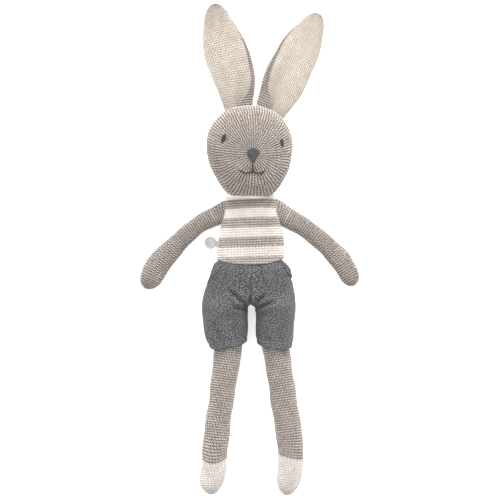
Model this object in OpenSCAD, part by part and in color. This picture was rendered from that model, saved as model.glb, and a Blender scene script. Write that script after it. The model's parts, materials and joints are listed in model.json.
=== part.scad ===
// Knitted toy rabbit lying on its back, face up, with the ears towards +Y.
// Left means the -X side and right the +X side. The table is the plane z = 0.

/* [Materials] */
// Thickness of the knitted skin
knit_t = 1.6; // [1.2:0.1:2]
// Thickness of the shorts' cloth
cloth_t = 1.2; // [0.8:0.1:1.4]
// How far embroidery and stitching stand out of the surface
thread_t = 0.7; // [0.4:0.1:1]
// Radius of each knot of sewing thread inside a joint
knot_r = 2.6; // [2:0.1:2.8]

/* [Head] */
// Width, cheek to cheek
head_w = 70; // [66:0.5:72]
// Length, chin to crown
head_l = 73; // [71:0.5:74]
// Depth, back to face
head_d = 56; // [54:0.5:58]
// Width of an eye
eye_w = 3; // [2.4:0.1:4]
// Length of an eye
eye_l = 6.2; // [5:0.1:8]
// Width of the nose
nose_w = 9.4; // [8:0.1:11]
// Length of the nose
nose_l = 9.6; // [8:0.1:11]
// Radius of each half of the smile
smile_r = 5; // [4:0.1:6]

/* [Ears] */
// Length of an ear from its hinge line to the tip
ear_l = 83; // [78:0.5:85]
// Width of an ear at its widest
ear_w = 37; // [33:0.5:38]
// Width of an ear at its root
ear_root_w = 25; // [22:0.5:26]
// Thickness of each of an ear's two layers
ear_layer_t = 2.5; // [2:0.1:2.6]

/* [Body] */
// Width of the torso under the arms
torso_w = 46; // [44:0.5:47]
// Depth of the torso
torso_d = 35; // [33:0.5:36]
// Width of the rolled edge at the waist
hem_w = 56; // [56:0.5:58]
// Thickness of the rolled edge
hem_roll = 5; // [4:0.5:6]

/* [Arms] */
// Length of an arm from its pivot to the tip of the hand
arm_l = 81; // [78:0.5:82]
// Width of an arm at the shoulder
shoulder_w = 16.4; // [15:0.2:16.6]
// Width of an arm at the elbow
elbow_w = 14.4; // [13:0.2:15]
// Width of the left hand
left_hand_w = 18; // [15:0.2:18.4]
// Width of the right hand
right_hand_w = 15.6; // [15:0.2:18.4]

/* [Legs] */
// Length of a leg from its pivot to the toe
leg_l = 158; // [150:0.5:160]
// Width of a leg inside the shorts
thigh_w = 22.4; // [21:0.2:22.6]
// Width of a leg at the knee and ankle
ankle_w = 20; // [18:0.2:21]
// Length of the pale foot
foot_l = 30; // [26:0.5:34]

/* [Shorts] */
// Width across the hips
hips_w = 75; // [73:0.5:76]
// Radius of the round top of each leg of the shorts, about the hip pivot
hip_r = 17.2; // [17:0.1:17.4]
// Length of a leg of the shorts below the hip pivot
shorts_leg_l = 38.5; // [36:0.5:40]
// Depth of the turned-up hem band
hem_band = 4.5; // [3:0.5:6]

/* [Tag] */
// Diameter of the clear round tag
tag_d = 10; // [9:0.5:11]

/* [Hidden] */
// The smallest gap between pieces of two bodies, and between pieces of one body
clear = 0.4;
skin_gap = 0.1;
// Corners of a tube's ring
sides = 20;
head_sides = 26;
// Degrees between the rings of a rounded end
dome_step = 18;
// Taller than anything in the doll
big = 400;

taupe = "#A59B92";
cream = "#E4DACC";
chambray = "#5F5F62";
filling = "#F2F0EA";
slate = "#4B5055";
bark = "#3C3430";
pale_thread = "#B8B8B8";
clear_plastic = "#D5DADD";

// Places along the doll
neck_y = 43.6;
waist_y = -8;
hip_y = -42;
crown_y = neck_y + 1.4 + head_l;
spine_x = 1;
spine_z = 18.4;
neck_z = 27;
left_hip_x = -19.8;
right_hip_x = 20.6;
hip_axis_z = hip_r;
shoulder_y = 29;
shoulder_z = 16;
face_x = 3;

// ---------------------------------------------------------------------
// Soft tubes. A station is [centre, heading, half width, half height], and its ring stands square to the
// heading. No ring goes below the given floor, so a tube that rests on the table is flat underneath.
// ---------------------------------------------------------------------
function ring(station, count, floor_z) =
    let (c = station[0], a = station[1], w = station[2], h = station[3])
    [for (i = [0 : count - 1])
        let (t = 360 * i / count)
        [c.x + w * cos(t) * sin(a), c.y - w * cos(t) * cos(a), max(c.z + h * sin(t), floor_z)]];

module tube(stations, count = sides, floor_z = 0) {
    last = len(stations) - 1;
    points = [for (s = stations) each ring(s, count, floor_z)];
    function at(k, i) = k * count + i % count;
    walls = [for (k = [0 : last - 1], i = [0 : count - 1])
        each [[at(k, i), at(k, i + 1), at(k + 1, i + 1)], [at(k, i), at(k + 1, i + 1), at(k + 1, i)]]];
    first_cap = [[for (i = [count - 1 : -1 : 0]) at(0, i)]];
    last_cap = [[for (i = [0 : count - 1]) at(last, i)]];
    polyhedron(points, concat(first_cap, walls, last_cap), convexity = 6);
}

// A path is [x, y, heading, arcs]: gentle arcs over the table, one after another, each [length, turn].
// along() gives [x, y, heading] at s from the start. Before the start a path runs straight.
function on_arc(path, s) =
    let (h = path[2], per_mm = path[3][0][1] / path[3][0][0], t = h + per_mm * s, r = 180 / (PI * per_mm))
    [path.x + r * (sin(t) - sin(h)), path.y - r * (cos(t) - cos(h)), t];

function along(path, s) =
    let (arcs = path[3], first = arcs[0][0], h = path[2])
    s < 0 ? [path.x + s * cos(h), path.y + s * sin(h), h]
    : s <= first || len(arcs) == 1 ? on_arc(path, s)
    : let (p = on_arc(path, first)) along([p.x, p.y, p[2], [for (k = [1 : len(arcs) - 1]) arcs[k]]], s - first);

function path_length(path) = [for (arc = path[3]) arc[0]] * [for (arc = path[3]) 1];

// Station of a limb: s along the path, f the share of the full section that is left in a rounded end
function limb_station(path, rise, width, depth, inset, s, f) =
    let (p = along(path, s))
    [[p.x, p.y, lookup(s, rise)], p[2], (lookup(s, width) / 2 - inset) * f, (lookup(s, depth) / 2 - inset) * f];

// A limb with a round root of radius root about its pivot and a round end of length tip.
// rise, width and depth are tables of the centre's height, the width and the depth against s.
function limb(path, rise, width, depth, root, tip, inset = 0, steps = 7) =
    let (straight = path_length(path) - tip)
    concat(
        [for (a = [dome_step / 2 : dome_step : 90])
            limb_station(path, rise, width, depth, inset, -(root - inset) * cos(a), sin(a))],
        [for (k = [1 : steps])
            limb_station(path, rise, width, depth, inset, straight * k / steps, 1)],
        [for (a = [90 - dome_step : -dome_step : dome_step / 2])
            limb_station(path, rise, width, depth, inset, straight + (tip - inset) * cos(a), sin(a))]);

module knit_skin(outer, inner) {
    difference() {
        tube(outer);
        tube(inner, floor_z = knit_t);
    }
}

// Everything beyond s along a path, or everything before it
module beyond(path, s) {
    p = along(path, s);
    translate([p.x, p.y, 0]) rotate(p[2]) translate([0, -big / 2, -big / 2]) cube(big);
}

module before(path, s) {
    p = along(path, s);
    translate([p.x, p.y, 0]) rotate(p[2]) translate([-big, -big / 2, -big / 2]) cube(big);
}

module knot_at(p) {
    translate(p) sphere(r = knot_r, $fn = 24);
}

// Room for a knot of thread, round the same pivot
module knot_room(p) {
    translate(p) sphere(r = knot_r + clear, $fn = 24);
}

// ---------------------------------------------------------------------
// Head and face
// ---------------------------------------------------------------------
// The head's outline is a superellipse a little squarer than an ellipse.
head_power = 2 / 2.3;
head_centre_y = crown_y - head_l / 2;
head_z = head_d / 2;
neck_pivot = [0, neck_y, neck_z];

head_step = 12;

function head_form(inset) =
    [for (a = [head_step / 2 : head_step : 180])
        let (f = pow(sin(a), head_power), q = pow(abs(cos(a)), head_power) * sign(cos(a)))
        [[0, head_centre_y - (head_l / 2 - inset) * q, head_z], 90,
            (head_w / 2 - inset) * f, (head_d / 2 - inset) * f]];

module head_solid(inset = 0) {
    tube(head_form(inset), head_sides, max(inset, 0));
}

module head_knit() {
    color(taupe) difference() {
        head_solid();
        head_solid(knit_t);
        knot_room(neck_pivot);
    }
}

module head_stuffing() {
    color(filling) difference() {
        head_solid(knit_t + skin_gap);
        knot_room(neck_pivot);
    }
}

// Embroidery: the flat outline given as a child, raised off the face by the thread's thickness
module embroidered() {
    intersection() {
        difference() {
            head_solid(-thread_t);
            head_solid(-skin_gap / 2);
        }
        translate([face_x, 0, head_z]) linear_extrude(big) children();
    }
}

eye_y = 89;
eye_spread = 23.8;
nose_y = 79;
mouth_y = 65;
// How far the face's line of eyes drops towards the right
face_lean = 1.5;

module eye_outline(lean) {
    rotate(lean) hull() {
        for (end = [-1, 1]) translate([0, end * (eye_l - eye_w) / 2]) circle(d = eye_w, $fn = 16);
    }
}

module left_eye() {
    color(bark) embroidered() translate([-eye_spread, eye_y + face_lean]) eye_outline(-8);
}

module right_eye() {
    color(bark) embroidered() translate([eye_spread, eye_y - face_lean]) eye_outline(6);
}

module nose() {
    corner = 2;
    color(slate) embroidered() hull() {
        for (side = [-1, 1])
            translate([side * (nose_w / 2 - corner), nose_y + nose_l / 2 - corner]) circle(r = corner, $fn = 16);
        translate([0, nose_y - nose_l / 2 + corner]) circle(r = corner, $fn = 16);
    }
}

module mouth() {
    line = 1;
    color(slate) embroidered() {
        translate([-line / 2, mouth_y]) square([line, nose_y - nose_l / 2 - mouth_y - clear]);
        for (side = [-1, 1]) translate([side * smile_r, mouth_y]) difference() {
            circle(r = smile_r + line / 2, $fn = 32);
            circle(r = smile_r - line / 2, $fn = 32);
            translate([-big / 2, 0]) square(big);
        }
    }
}

// ---------------------------------------------------------------------
// Ears: two knitted layers on a hinge line behind the crown, and a folded tuck that joins them to the head
// ---------------------------------------------------------------------
left_ear_path = [-10.5, 118.6, 96, [[ear_l, 11]]];
right_ear_path = [18, 117.6, 66, [[ear_l - 1, -3]]];

function ear_width() =
    [[0, ear_root_w], [ear_l * 0.25, ear_w * 0.94], [ear_l * 0.5, ear_w], [ear_l * 0.72, ear_w * 0.9],
        [ear_l, ear_w * 0.5]];

module ear_layer(path, z, trim) {
    tip = 20;
    level = [[0, z]];
    thickness = [[0, ear_layer_t]];
    width = [for (w = ear_width()) [w[0], w[1] - trim]];
    tube(limb(path, level, width, thickness, ear_layer_t, tip, 0, 5), 14);
}

module ear_front(path) {
    color(cream) ear_layer(path, ear_layer_t * 1.5 + skin_gap, 2);
}

module ear_back(path) {
    color(taupe) ear_layer(path, ear_layer_t / 2, 0);
}

// The folded root, flat on the table under the back of the head. It stops short of the ear's rounded root.
module ear_tuck(path) {
    near = -ear_layer_t - clear;
    far = near - 11;
    bevel = 1.5;
    half_w = ear_root_w / 2 - bevel;
    half_t = 1.9;
    color(taupe) tube([for (k = [[far, 0.4], [far + 2 * bevel, 1], [near - bevel, 1], [near, 0.4]])
        let (p = along(path, k[0]))
        [[p.x, p.y, half_t], p[2], half_w, half_t * k[1]]], 14);
}

// ---------------------------------------------------------------------
// Torso: one striped knitted tube, closed at both ends, with a rolled edge over the shorts' waist
// ---------------------------------------------------------------------
// [y, width, depth] of the stuffed torso, from the hidden seat up to the neck
torso_profile = [
    [-22.5, torso_w * 0.55, torso_d * 0.4],
    [-21, torso_w * 0.8, torso_d * 0.7],
    [-17, torso_w * 0.98, torso_d * 0.92],
    [waist_y, torso_w * 1.03, torso_d * 0.94],
    [-2, torso_w * 1.09, torso_d],
    [6, torso_w * 1.09, torso_d],
    [18, torso_w * 1.05, torso_d],
    [shoulder_y, torso_w * 0.99, torso_d * 0.97],
    [35, torso_w * 0.93, torso_d * 0.9],
    [39, torso_w * 0.83, torso_d * 0.78],
    [41.4, torso_w * 0.68, torso_d * 0.6],
    [42.6, torso_w * 0.45, torso_d * 0.35]];
neck_band_y = 38.6;

function torso_form(inset) =
    [for (p = torso_profile)
        let (end_in = p[0] > shoulder_y ? -inset : p[0] < waist_y ? inset : 0)
        [[spine_x, p[0] + end_in, spine_z], 90, p[1] / 2 - inset, p[2] / 2 - inset]];

module torso_skin() {
    difference() {
        tube(torso_form(0));
        tube(torso_form(knit_t), floor_z = knit_t);
        knot_room(neck_pivot);
    }
}

module torso_knit() {
    color(cream) difference() {
        torso_skin();
        translate([-big / 2, neck_band_y, -big / 2]) cube(big);
    }
}

module neck_band() {
    color(cream) difference() {
        torso_skin();
        translate([-big / 2, neck_band_y + skin_gap - big, -big / 2]) cube(big);
    }
}

module torso_stuffing() {
    color(filling) difference() {
        tube(torso_form(knit_t + skin_gap), floor_z = knit_t + skin_gap);
        knot_room(neck_pivot);
    }
}

function level_loop(y, w, d) = [[spine_x, y, spine_z], 90, w / 2, d / 2];

module rolled_hem() {
    depth = 2 * spine_z;
    color(taupe) difference() {
        tube([
            level_loop(waist_y - hem_roll / 2, hem_w - 2, depth - 2),
            level_loop(waist_y - hem_roll / 4, hem_w, depth),
            level_loop(waist_y + hem_roll / 4, hem_w, depth),
            level_loop(waist_y + hem_roll / 2, hem_w - 2, depth - 2)]);
        tube([
            level_loop(waist_y - hem_roll, waist_w + 2 * skin_gap, waist_d + 2 * skin_gap),
            level_loop(waist_y + hem_roll, waist_w + 2 * skin_gap, waist_d + 2 * skin_gap)], floor_z = -1);
    }
}

// ---------------------------------------------------------------------
// Shorts: a seat on the torso and a leg on each of the doll's legs
// ---------------------------------------------------------------------
waist_w = torso_w * 1.03 + 2 * (cloth_t + skin_gap);
waist_d = torso_d * 0.94 + 2 * (cloth_t + skin_gap);
seat_d = 2 * spine_z + 1.6;
// The seat hugs the torso as far as the yoke and swells below it
yoke_y = waist_y - hem_roll / 2 - 0.5;

// [y, width, depth] from the waist down. The hollow inside is a little longer at both ends, so that both are open.
seat_profile = [
    [waist_y, waist_w, waist_d],
    [yoke_y, waist_w, waist_d],
    [yoke_y - 2, hips_w * 0.76, waist_d + 2],
    [-20, hips_w * 0.86, seat_d],
    [-31, hips_w * 0.96, seat_d],
    [hip_y, hips_w, seat_d]];

function seat_form(inset) =
    [for (p = seat_profile)
        let (longer = inset <= 0 ? 0 : p[0] == waist_y ? 1 : p[0] == hip_y ? -1 : 0)
        [[p[0] < yoke_y ? 0 : spine_x, p[0] + longer, spine_z], 270, p[1] / 2 - inset, p[2] / 2 - inset]];

// The seat is cut off at the table, round the top of each leg, and in front where a raised leg comes
module shorts_seat() {
    color(chambray) difference() {
        tube(seat_form(0), floor_z = -big);
        tube(seat_form(cloth_t), floor_z = cloth_t);
        translate([-big / 2, -big / 2, -big]) cube(big);
        for (x = [left_hip_x, right_hip_x])
            translate([x, hip_y, hip_axis_z]) sphere(r = hip_r + clear, $fn = 48);
        translate([-big / 2, hip_y + hip_r + clear - big, hip_axis_z]) cube(big);
    }
}

left_leg_cloth = [left_hip_x, hip_y, 265, [[shorts_leg_l, 20]]];
right_leg_cloth = [right_hip_x, hip_y, 279, [[shorts_leg_l, -16]]];

function left_cloth_width() =
    [[0, 2 * hip_r], [shorts_leg_l * 0.55, 35], [shorts_leg_l, 28.6]];

function right_cloth_width() =
    [[0, 2 * hip_r], [shorts_leg_l * 0.55, 32.5], [shorts_leg_l, 27]];

function cloth_depth() = [[0, 2 * hip_r], [shorts_leg_l, 26.4]];

function cloth_rise() = [[0, hip_axis_z], [shorts_leg_l, 13.2]];

// A leg of the shorts: round about the hip pivot, open at the hem. extra lengthens the inner form past the hem.
function cloth_form(path, width, inset, extra) =
    concat(
        [for (a = [dome_step / 2 : dome_step : 90])
            limb_station(path, cloth_rise(), width, cloth_depth(), inset, -(hip_r - inset) * cos(a), sin(a))],
        [for (k = [0 : 4])
            limb_station(path, cloth_rise(), width, cloth_depth(), inset, (shorts_leg_l + extra) * k / 4, 1)]);

module cloth_leg(path, width) {
    color(chambray) difference() {
        tube(cloth_form(path, width, 0, 0));
        tube(cloth_form(path, width, cloth_t, 1), floor_z = cloth_t);
    }
}

// A band laid on the outside of a leg of the shorts, clear of the table
module on_cloth(path, width, thickness) {
    intersection() {
        difference() {
            tube(cloth_form(path, width, -thickness - skin_gap / 2, 0));
            tube(cloth_form(path, width, -skin_gap / 2, 1), floor_z = -1);
        }
        children();
    }
}

// The turned-up hem: a second thickness of cloth on the last few millimetres
module cloth_hem(path, width) {
    color(chambray) on_cloth(path, width, 0.8) beyond(path, shorts_leg_l - hem_band);
}

// The row of topstitching above the hem, all the way round
module hem_stitching(path, width) {
    line = 0.8;
    color(pale_thread) on_cloth(path, width, thread_t / 2) intersection() {
        beyond(path, shorts_leg_l - hem_band - 2 * line);
        before(path, shorts_leg_l - hem_band - line);
    }
}

// Stitching on the front of the seat, along the flat outline given as a child
module on_seat() {
    intersection() {
        difference() {
            tube(seat_form(-thread_t / 2), floor_z = 0);
            tube(seat_form(-skin_gap / 2), floor_z = -1);
        }
        translate([0, 0, spine_z]) linear_extrude(big) children();
    }
}

seat_stitch_top = waist_y - hem_roll / 2 - 1;
seat_stitch_end = hip_y + hip_r + 2 * clear;

module centre_seam() {
    line = 0.9;
    color(pale_thread) on_seat()
        translate([spine_x - line / 2, seat_stitch_end]) square([line, seat_stitch_top - seat_stitch_end]);
}

// Two rows of stitching along the curved mouth of each side pocket
module pocket_stitching(side) {
    line = 0.8;
    mouth_r = 17;
    color(pale_thread) on_seat() intersection() {
        translate([side * hips_w * 0.47, waist_y]) for (r = [mouth_r, mouth_r - 2 * line]) difference() {
            circle(r = r, $fn = 64);
            circle(r = r - line, $fn = 64);
        }
        translate([side > 0 ? 0 : -hips_w / 2, seat_stitch_end])
            square([hips_w / 2, seat_stitch_top - seat_stitch_end]);
    }
}

// ---------------------------------------------------------------------
// Arms and legs: a knitted tube and its filling, round about the pivot at the root
// ---------------------------------------------------------------------
left_arm_path = [-31.2, shoulder_y, 207, [[arm_l, 43]]];
right_arm_path = [32.6, shoulder_y, -27, [[arm_l - 1, -41]]];
// Inside the shorts, down to the ankle, and on to the toe
thigh_s = leg_l * 0.285;
calf_s = leg_l * 0.38;
shin_s = leg_l - thigh_s - calf_s;
left_leg_path = [-15.2, hip_y, 270, [[thigh_s, -8], [calf_s, 1], [shin_s, 5]]];
right_leg_path = [17.5, hip_y, 274, [[thigh_s, 6], [calf_s, -2], [shin_s, -18]]];

function arm_width(hand_w) = [[0, shoulder_w], [arm_l * 0.4, elbow_w], [arm_l * 0.72, elbow_w + 1], [arm_l, hand_w]];

function arm_rise() = [[0, shoulder_z], [arm_l * 0.4, 9.6], [arm_l * 0.6, 7.4], [arm_l, 8]];

function leg_width() = [[0, thigh_w], [leg_l * 0.25, thigh_w], [leg_l * 0.6, ankle_w], [leg_l, ankle_w + 0.8]];

function leg_rise() = [[0, hip_axis_z], [leg_l * 0.25, 13], [leg_l * 0.45, 10], [leg_l, 9.6]];

function arm_form(path, hand_w, inset) =
    limb(path, arm_rise(), arm_width(hand_w), arm_width(hand_w), shoulder_w / 2, 9, inset);

function leg_form(path, inset) =
    limb(path, leg_rise(), leg_width(), leg_width(), thigh_w / 2, 12, inset, 8);

function pivot(path, z) = [path.x, path.y, z];

module arm_knit(path, hand_w) {
    color(taupe) knit_skin(arm_form(path, hand_w, 0), arm_form(path, hand_w, knit_t));
}

module arm_stuffing(path, hand_w) {
    color(filling) difference() {
        tube(arm_form(path, hand_w, knit_t + skin_gap), floor_z = knit_t + skin_gap);
        knot_room(pivot(path, shoulder_z));
    }
}

ankle_s = leg_l - foot_l;

module leg_knit(path) {
    color(taupe) intersection() {
        knit_skin(leg_form(path, 0), leg_form(path, knit_t));
        before(path, ankle_s);
    }
}

module foot_knit(path) {
    color(cream) intersection() {
        knit_skin(leg_form(path, 0), leg_form(path, knit_t));
        beyond(path, ankle_s + skin_gap);
    }
}

module leg_stuffing(path) {
    color(filling) difference() {
        tube(leg_form(path, knit_t + skin_gap), floor_z = knit_t + skin_gap);
        knot_room(pivot(path, hip_axis_z));
    }
}

// ---------------------------------------------------------------------
// Clear round tag, flat on the table beside the left seam, and the strap that it hangs from
// ---------------------------------------------------------------------
tag_t = 0.8;
tag_x = -31.8;
tag_y = 6.4;
tag_z = 0.5;
strap_w = 1.6;
strap_t = 0.6;
strap_l = 11.5;
// The strap leans in against the side of the torso
strap_lean = 16;

module tag_disc() {
    hole_d = 1.6;
    color(clear_plastic) translate([tag_x, tag_y, tag_z]) difference() {
        cylinder(d = tag_d, h = tag_t, $fn = 48);
        translate([tag_d / 2 - hole_d, 0, -1]) cylinder(d = hole_d, h = tag_t + 2, $fn = 24);
    }
}

module tag_strap() {
    color(clear_plastic) translate([tag_x + tag_d / 2 + clear, tag_y - strap_w / 2, tag_z])
        rotate([0, strap_lean, 0]) cube([strap_t, strap_w, strap_l]);
}

NODES = [
    "head_knit", "head_stuffing", "left_eye", "right_eye", "nose", "mouth",
    "left_ear_front", "left_ear_back", "left_ear_tuck", "right_ear_front", "right_ear_back", "right_ear_tuck",
    "neck_knot", "neck_band", "torso_knit", "torso_stuffing", "rolled_hem",
    "left_arm_knit", "left_arm_stuffing", "left_shoulder_knot",
    "right_arm_knit", "right_arm_stuffing", "right_shoulder_knot",
    "left_leg_knit", "left_foot_knit", "left_leg_stuffing", "left_hip_knot",
    "right_leg_knit", "right_foot_knit", "right_leg_stuffing", "right_hip_knot",
    "shorts_seat", "centre_seam", "left_pocket_stitching", "right_pocket_stitching",
    "left_shorts_leg", "left_shorts_hem", "left_hem_stitching",
    "right_shorts_leg", "right_shorts_hem", "right_hem_stitching",
    "tag_disc", "tag_strap"];
node = "all";

function wanted(name) = node == "all" || node == name;

if (wanted("head_knit")) head_knit();
if (wanted("head_stuffing")) head_stuffing();
if (wanted("left_eye")) left_eye();
if (wanted("right_eye")) right_eye();
if (wanted("nose")) nose();
if (wanted("mouth")) mouth();
if (wanted("left_ear_front")) ear_front(left_ear_path);
if (wanted("left_ear_back")) ear_back(left_ear_path);
if (wanted("left_ear_tuck")) ear_tuck(left_ear_path);
if (wanted("right_ear_front")) ear_front(right_ear_path);
if (wanted("right_ear_back")) ear_back(right_ear_path);
if (wanted("right_ear_tuck")) ear_tuck(right_ear_path);
if (wanted("neck_knot")) color(cream) knot_at(neck_pivot);
if (wanted("neck_band")) neck_band();
if (wanted("torso_knit")) torso_knit();
if (wanted("torso_stuffing")) torso_stuffing();
if (wanted("rolled_hem")) rolled_hem();
if (wanted("left_arm_knit")) arm_knit(left_arm_path, left_hand_w);
if (wanted("left_arm_stuffing")) arm_stuffing(left_arm_path, left_hand_w);
if (wanted("left_shoulder_knot")) color(cream) knot_at(pivot(left_arm_path, shoulder_z));
if (wanted("right_arm_knit")) arm_knit(right_arm_path, right_hand_w);
if (wanted("right_arm_stuffing")) arm_stuffing(right_arm_path, right_hand_w);
if (wanted("right_shoulder_knot")) color(cream) knot_at(pivot(right_arm_path, shoulder_z));
if (wanted("left_leg_knit")) leg_knit(left_leg_path);
if (wanted("left_foot_knit")) foot_knit(left_leg_path);
if (wanted("left_leg_stuffing")) leg_stuffing(left_leg_path);
if (wanted("left_hip_knot")) color(cream) knot_at(pivot(left_leg_path, hip_axis_z));
if (wanted("right_leg_knit")) leg_knit(right_leg_path);
if (wanted("right_foot_knit")) foot_knit(right_leg_path);
if (wanted("right_leg_stuffing")) leg_stuffing(right_leg_path);
if (wanted("right_hip_knot")) color(cream) knot_at(pivot(right_leg_path, hip_axis_z));
if (wanted("shorts_seat")) shorts_seat();
if (wanted("centre_seam")) centre_seam();
if (wanted("left_pocket_stitching")) pocket_stitching(-1);
if (wanted("right_pocket_stitching")) pocket_stitching(1);
if (wanted("left_shorts_leg")) cloth_leg(left_leg_cloth, left_cloth_width());
if (wanted("left_shorts_hem")) cloth_hem(left_leg_cloth, left_cloth_width());
if (wanted("left_hem_stitching")) hem_stitching(left_leg_cloth, left_cloth_width());
if (wanted("right_shorts_leg")) cloth_leg(right_leg_cloth, right_cloth_width());
if (wanted("right_shorts_hem")) cloth_hem(right_leg_cloth, right_cloth_width());
if (wanted("right_hem_stitching")) hem_stitching(right_leg_cloth, right_cloth_width());
if (wanted("tag_disc")) tag_disc();
if (wanted("tag_strap")) tag_strap();
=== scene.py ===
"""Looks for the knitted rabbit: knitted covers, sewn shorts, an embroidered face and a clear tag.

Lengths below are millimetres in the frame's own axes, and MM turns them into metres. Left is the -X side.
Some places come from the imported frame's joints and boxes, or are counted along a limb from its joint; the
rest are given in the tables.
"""

import json
import math

import bmesh
import bpy
import numpy as np
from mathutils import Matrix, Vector


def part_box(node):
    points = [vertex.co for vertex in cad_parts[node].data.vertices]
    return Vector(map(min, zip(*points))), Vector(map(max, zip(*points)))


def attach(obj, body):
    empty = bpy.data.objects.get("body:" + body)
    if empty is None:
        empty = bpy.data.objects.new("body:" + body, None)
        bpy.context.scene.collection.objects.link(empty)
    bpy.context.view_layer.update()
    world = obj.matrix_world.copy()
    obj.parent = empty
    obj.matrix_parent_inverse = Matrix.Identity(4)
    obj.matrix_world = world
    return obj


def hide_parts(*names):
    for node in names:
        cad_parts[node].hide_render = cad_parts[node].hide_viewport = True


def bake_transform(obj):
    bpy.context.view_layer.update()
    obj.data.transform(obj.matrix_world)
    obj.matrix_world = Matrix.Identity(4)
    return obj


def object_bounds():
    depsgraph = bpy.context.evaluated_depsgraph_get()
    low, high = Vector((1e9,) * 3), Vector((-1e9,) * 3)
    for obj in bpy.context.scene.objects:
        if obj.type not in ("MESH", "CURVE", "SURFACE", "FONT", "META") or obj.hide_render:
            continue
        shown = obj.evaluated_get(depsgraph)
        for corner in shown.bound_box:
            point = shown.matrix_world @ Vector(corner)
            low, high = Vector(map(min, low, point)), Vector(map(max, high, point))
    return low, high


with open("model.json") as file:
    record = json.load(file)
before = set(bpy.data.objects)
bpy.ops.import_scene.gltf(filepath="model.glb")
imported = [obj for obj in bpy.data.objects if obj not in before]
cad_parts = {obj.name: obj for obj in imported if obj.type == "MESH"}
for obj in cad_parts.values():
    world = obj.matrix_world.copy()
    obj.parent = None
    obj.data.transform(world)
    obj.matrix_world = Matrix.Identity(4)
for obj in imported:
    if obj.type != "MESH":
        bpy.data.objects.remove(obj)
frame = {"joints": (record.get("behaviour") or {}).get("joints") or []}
cad_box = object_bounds()

MM = 0.001
UP = np.array([0, 0, 1.0])
WALE = 2.4  # width of one knitted stitch
COURSE = 1.99  # height of one knitted row
WIDE_LEG = 0.6  # share of a stitch that its wide leg takes
LEAN = 0.62  # how far a leg slants, in rows
RIB_LEAN = 0.4  # the same on the head, where the ribs run straight
WALE_COLUMNS = 6  # grid columns across a stitch
COURSE_ROWS = 4  # grid rows up a stitch
KNIT_RELIEF = 0.9  # how far the yarn stands above the gaps
STRIPE_ROWS = 8.0  # rows of knitting in a pale stripe and a dark one together
TABLE_GAP = 0.55  # the covers' lowest level, so that no yarn dips under the table

# In the yarn colours below, the ones for the gaps are painted shade between the stitches and the ones for the
# tops are painted highlights on them; the rest are the yarns' own colours.
TAUPE_GAP_SHADE = (0.022, 0.017, 0.014)
TAUPE = (0.325, 0.272, 0.234)
TAUPE_TOP_HIGHLIGHT = (0.77, 0.685, 0.62)
DARK_TAUPE = (0.28, 0.232, 0.198)
DARK_TAUPE_TOP_HIGHLIGHT = (0.68, 0.60, 0.54)
CREAM_GAP_SHADE = (0.29, 0.23, 0.18)
CREAM = (0.87, 0.80, 0.725)
CREAM_TOP_HIGHLIGHT = (0.98, 0.93, 0.87)
EAR_CREAM_GAP_SHADE = (0.20, 0.15, 0.11)
EAR_CREAM = (0.68, 0.595, 0.50)
EAR_CREAM_TOP_HIGHLIGHT = (0.82, 0.745, 0.65)
CHAMBRAY_DARK = (0.014, 0.014, 0.016)
CHAMBRAY_MID = (0.11, 0.106, 0.112)
CHAMBRAY_PALE = (0.42, 0.415, 0.425)
FLOOR_GLOW = 0.65  # keeps the floor white round the doll, with only a soft shadow
SKY = 1.1  # strength of the light from all round


# ---------------------------------------------------------------------
# The frame's own places
# ---------------------------------------------------------------------
def joint_place(name):
    """A joint's pivot in millimetres."""
    joint = next(j for j in frame["joints"] if j["name"] == name)
    return np.array(joint["pos_m"]) / MM


def node_box(name):
    """A CAD node's lowest and highest corners in millimetres."""
    low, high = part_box(name)
    return np.array(low) / MM, np.array(high) / MM


LEFT_SHOULDER = joint_place("left_arm_raise")
RIGHT_SHOULDER = joint_place("right_arm_raise")
LEFT_HIP = joint_place("left_hip_swing")
RIGHT_HIP = joint_place("right_hip_swing")
LEFT_EAR_ROOT = joint_place("left_ear_fold")
RIGHT_EAR_ROOT = joint_place("right_ear_fold")
HEAD_LOW, HEAD_HIGH = node_box("head_knit")
HEAD_MID = (HEAD_LOW + HEAD_HIGH) / 2
HEAD_HALF = (HEAD_HIGH - HEAD_LOW) / 2
TORSO_LOW, TORSO_HIGH = node_box("torso_knit")
SPINE_X = (TORSO_LOW[0] + TORSO_HIGH[0]) / 2
SPINE_Z = (TORSO_LOW[2] + TORSO_HIGH[2]) / 2


# ---------------------------------------------------------------------
# Curves
# ---------------------------------------------------------------------
def smooth(table, s):
    """A smooth curve through a short table of (place, value) pairs, level past its ends."""
    x, y = np.array(table, float).T
    slope = np.gradient(y, x)
    s = np.clip(np.asarray(s, float), x[0], x[-1])
    k = np.clip(np.searchsorted(x, s) - 1, 0, len(x) - 2)
    gap = x[k + 1] - x[k]
    t = (s - x[k]) / gap
    return (
        (2 * t**3 - 3 * t**2 + 1) * y[k]
        + (t**3 - 2 * t**2 + t) * gap * slope[k]
        + (3 * t**2 - 2 * t**3) * y[k + 1]
        + (t**3 - t**2) * gap * slope[k + 1]
    )


def step(a, b, x):
    """0 before a, 1 after b, and smooth between."""
    t = np.clip((x - a) / (b - a), 0, 1)
    return t * t * (3 - 2 * t)


def along(path, s):
    """x, y and heading in radians at s along a chain of arcs (x, y, heading, [(length, turn), ...])."""
    x, y, heading, arcs = path
    s = np.asarray(s, float)
    start = 0.0
    out = np.stack([x + s * math.cos(math.radians(heading)), y + s * math.sin(math.radians(heading)),
                    np.full_like(s, math.radians(heading))])
    for length, turn in arcs:
        h, per = math.radians(heading), math.radians(turn) / length
        here = s >= start
        t = h + per * (s - start)
        arc = np.stack([x + (np.sin(t) - math.sin(h)) / per, y - (np.cos(t) - math.cos(h)) / per, t])
        out = np.where(here, arc, out)
        end = h + per * length
        x, y = x + (math.sin(end) - math.sin(h)) / per, y - (math.cos(end) - math.cos(h)) / per
        heading, start = math.degrees(end), start + length
    return out


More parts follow.
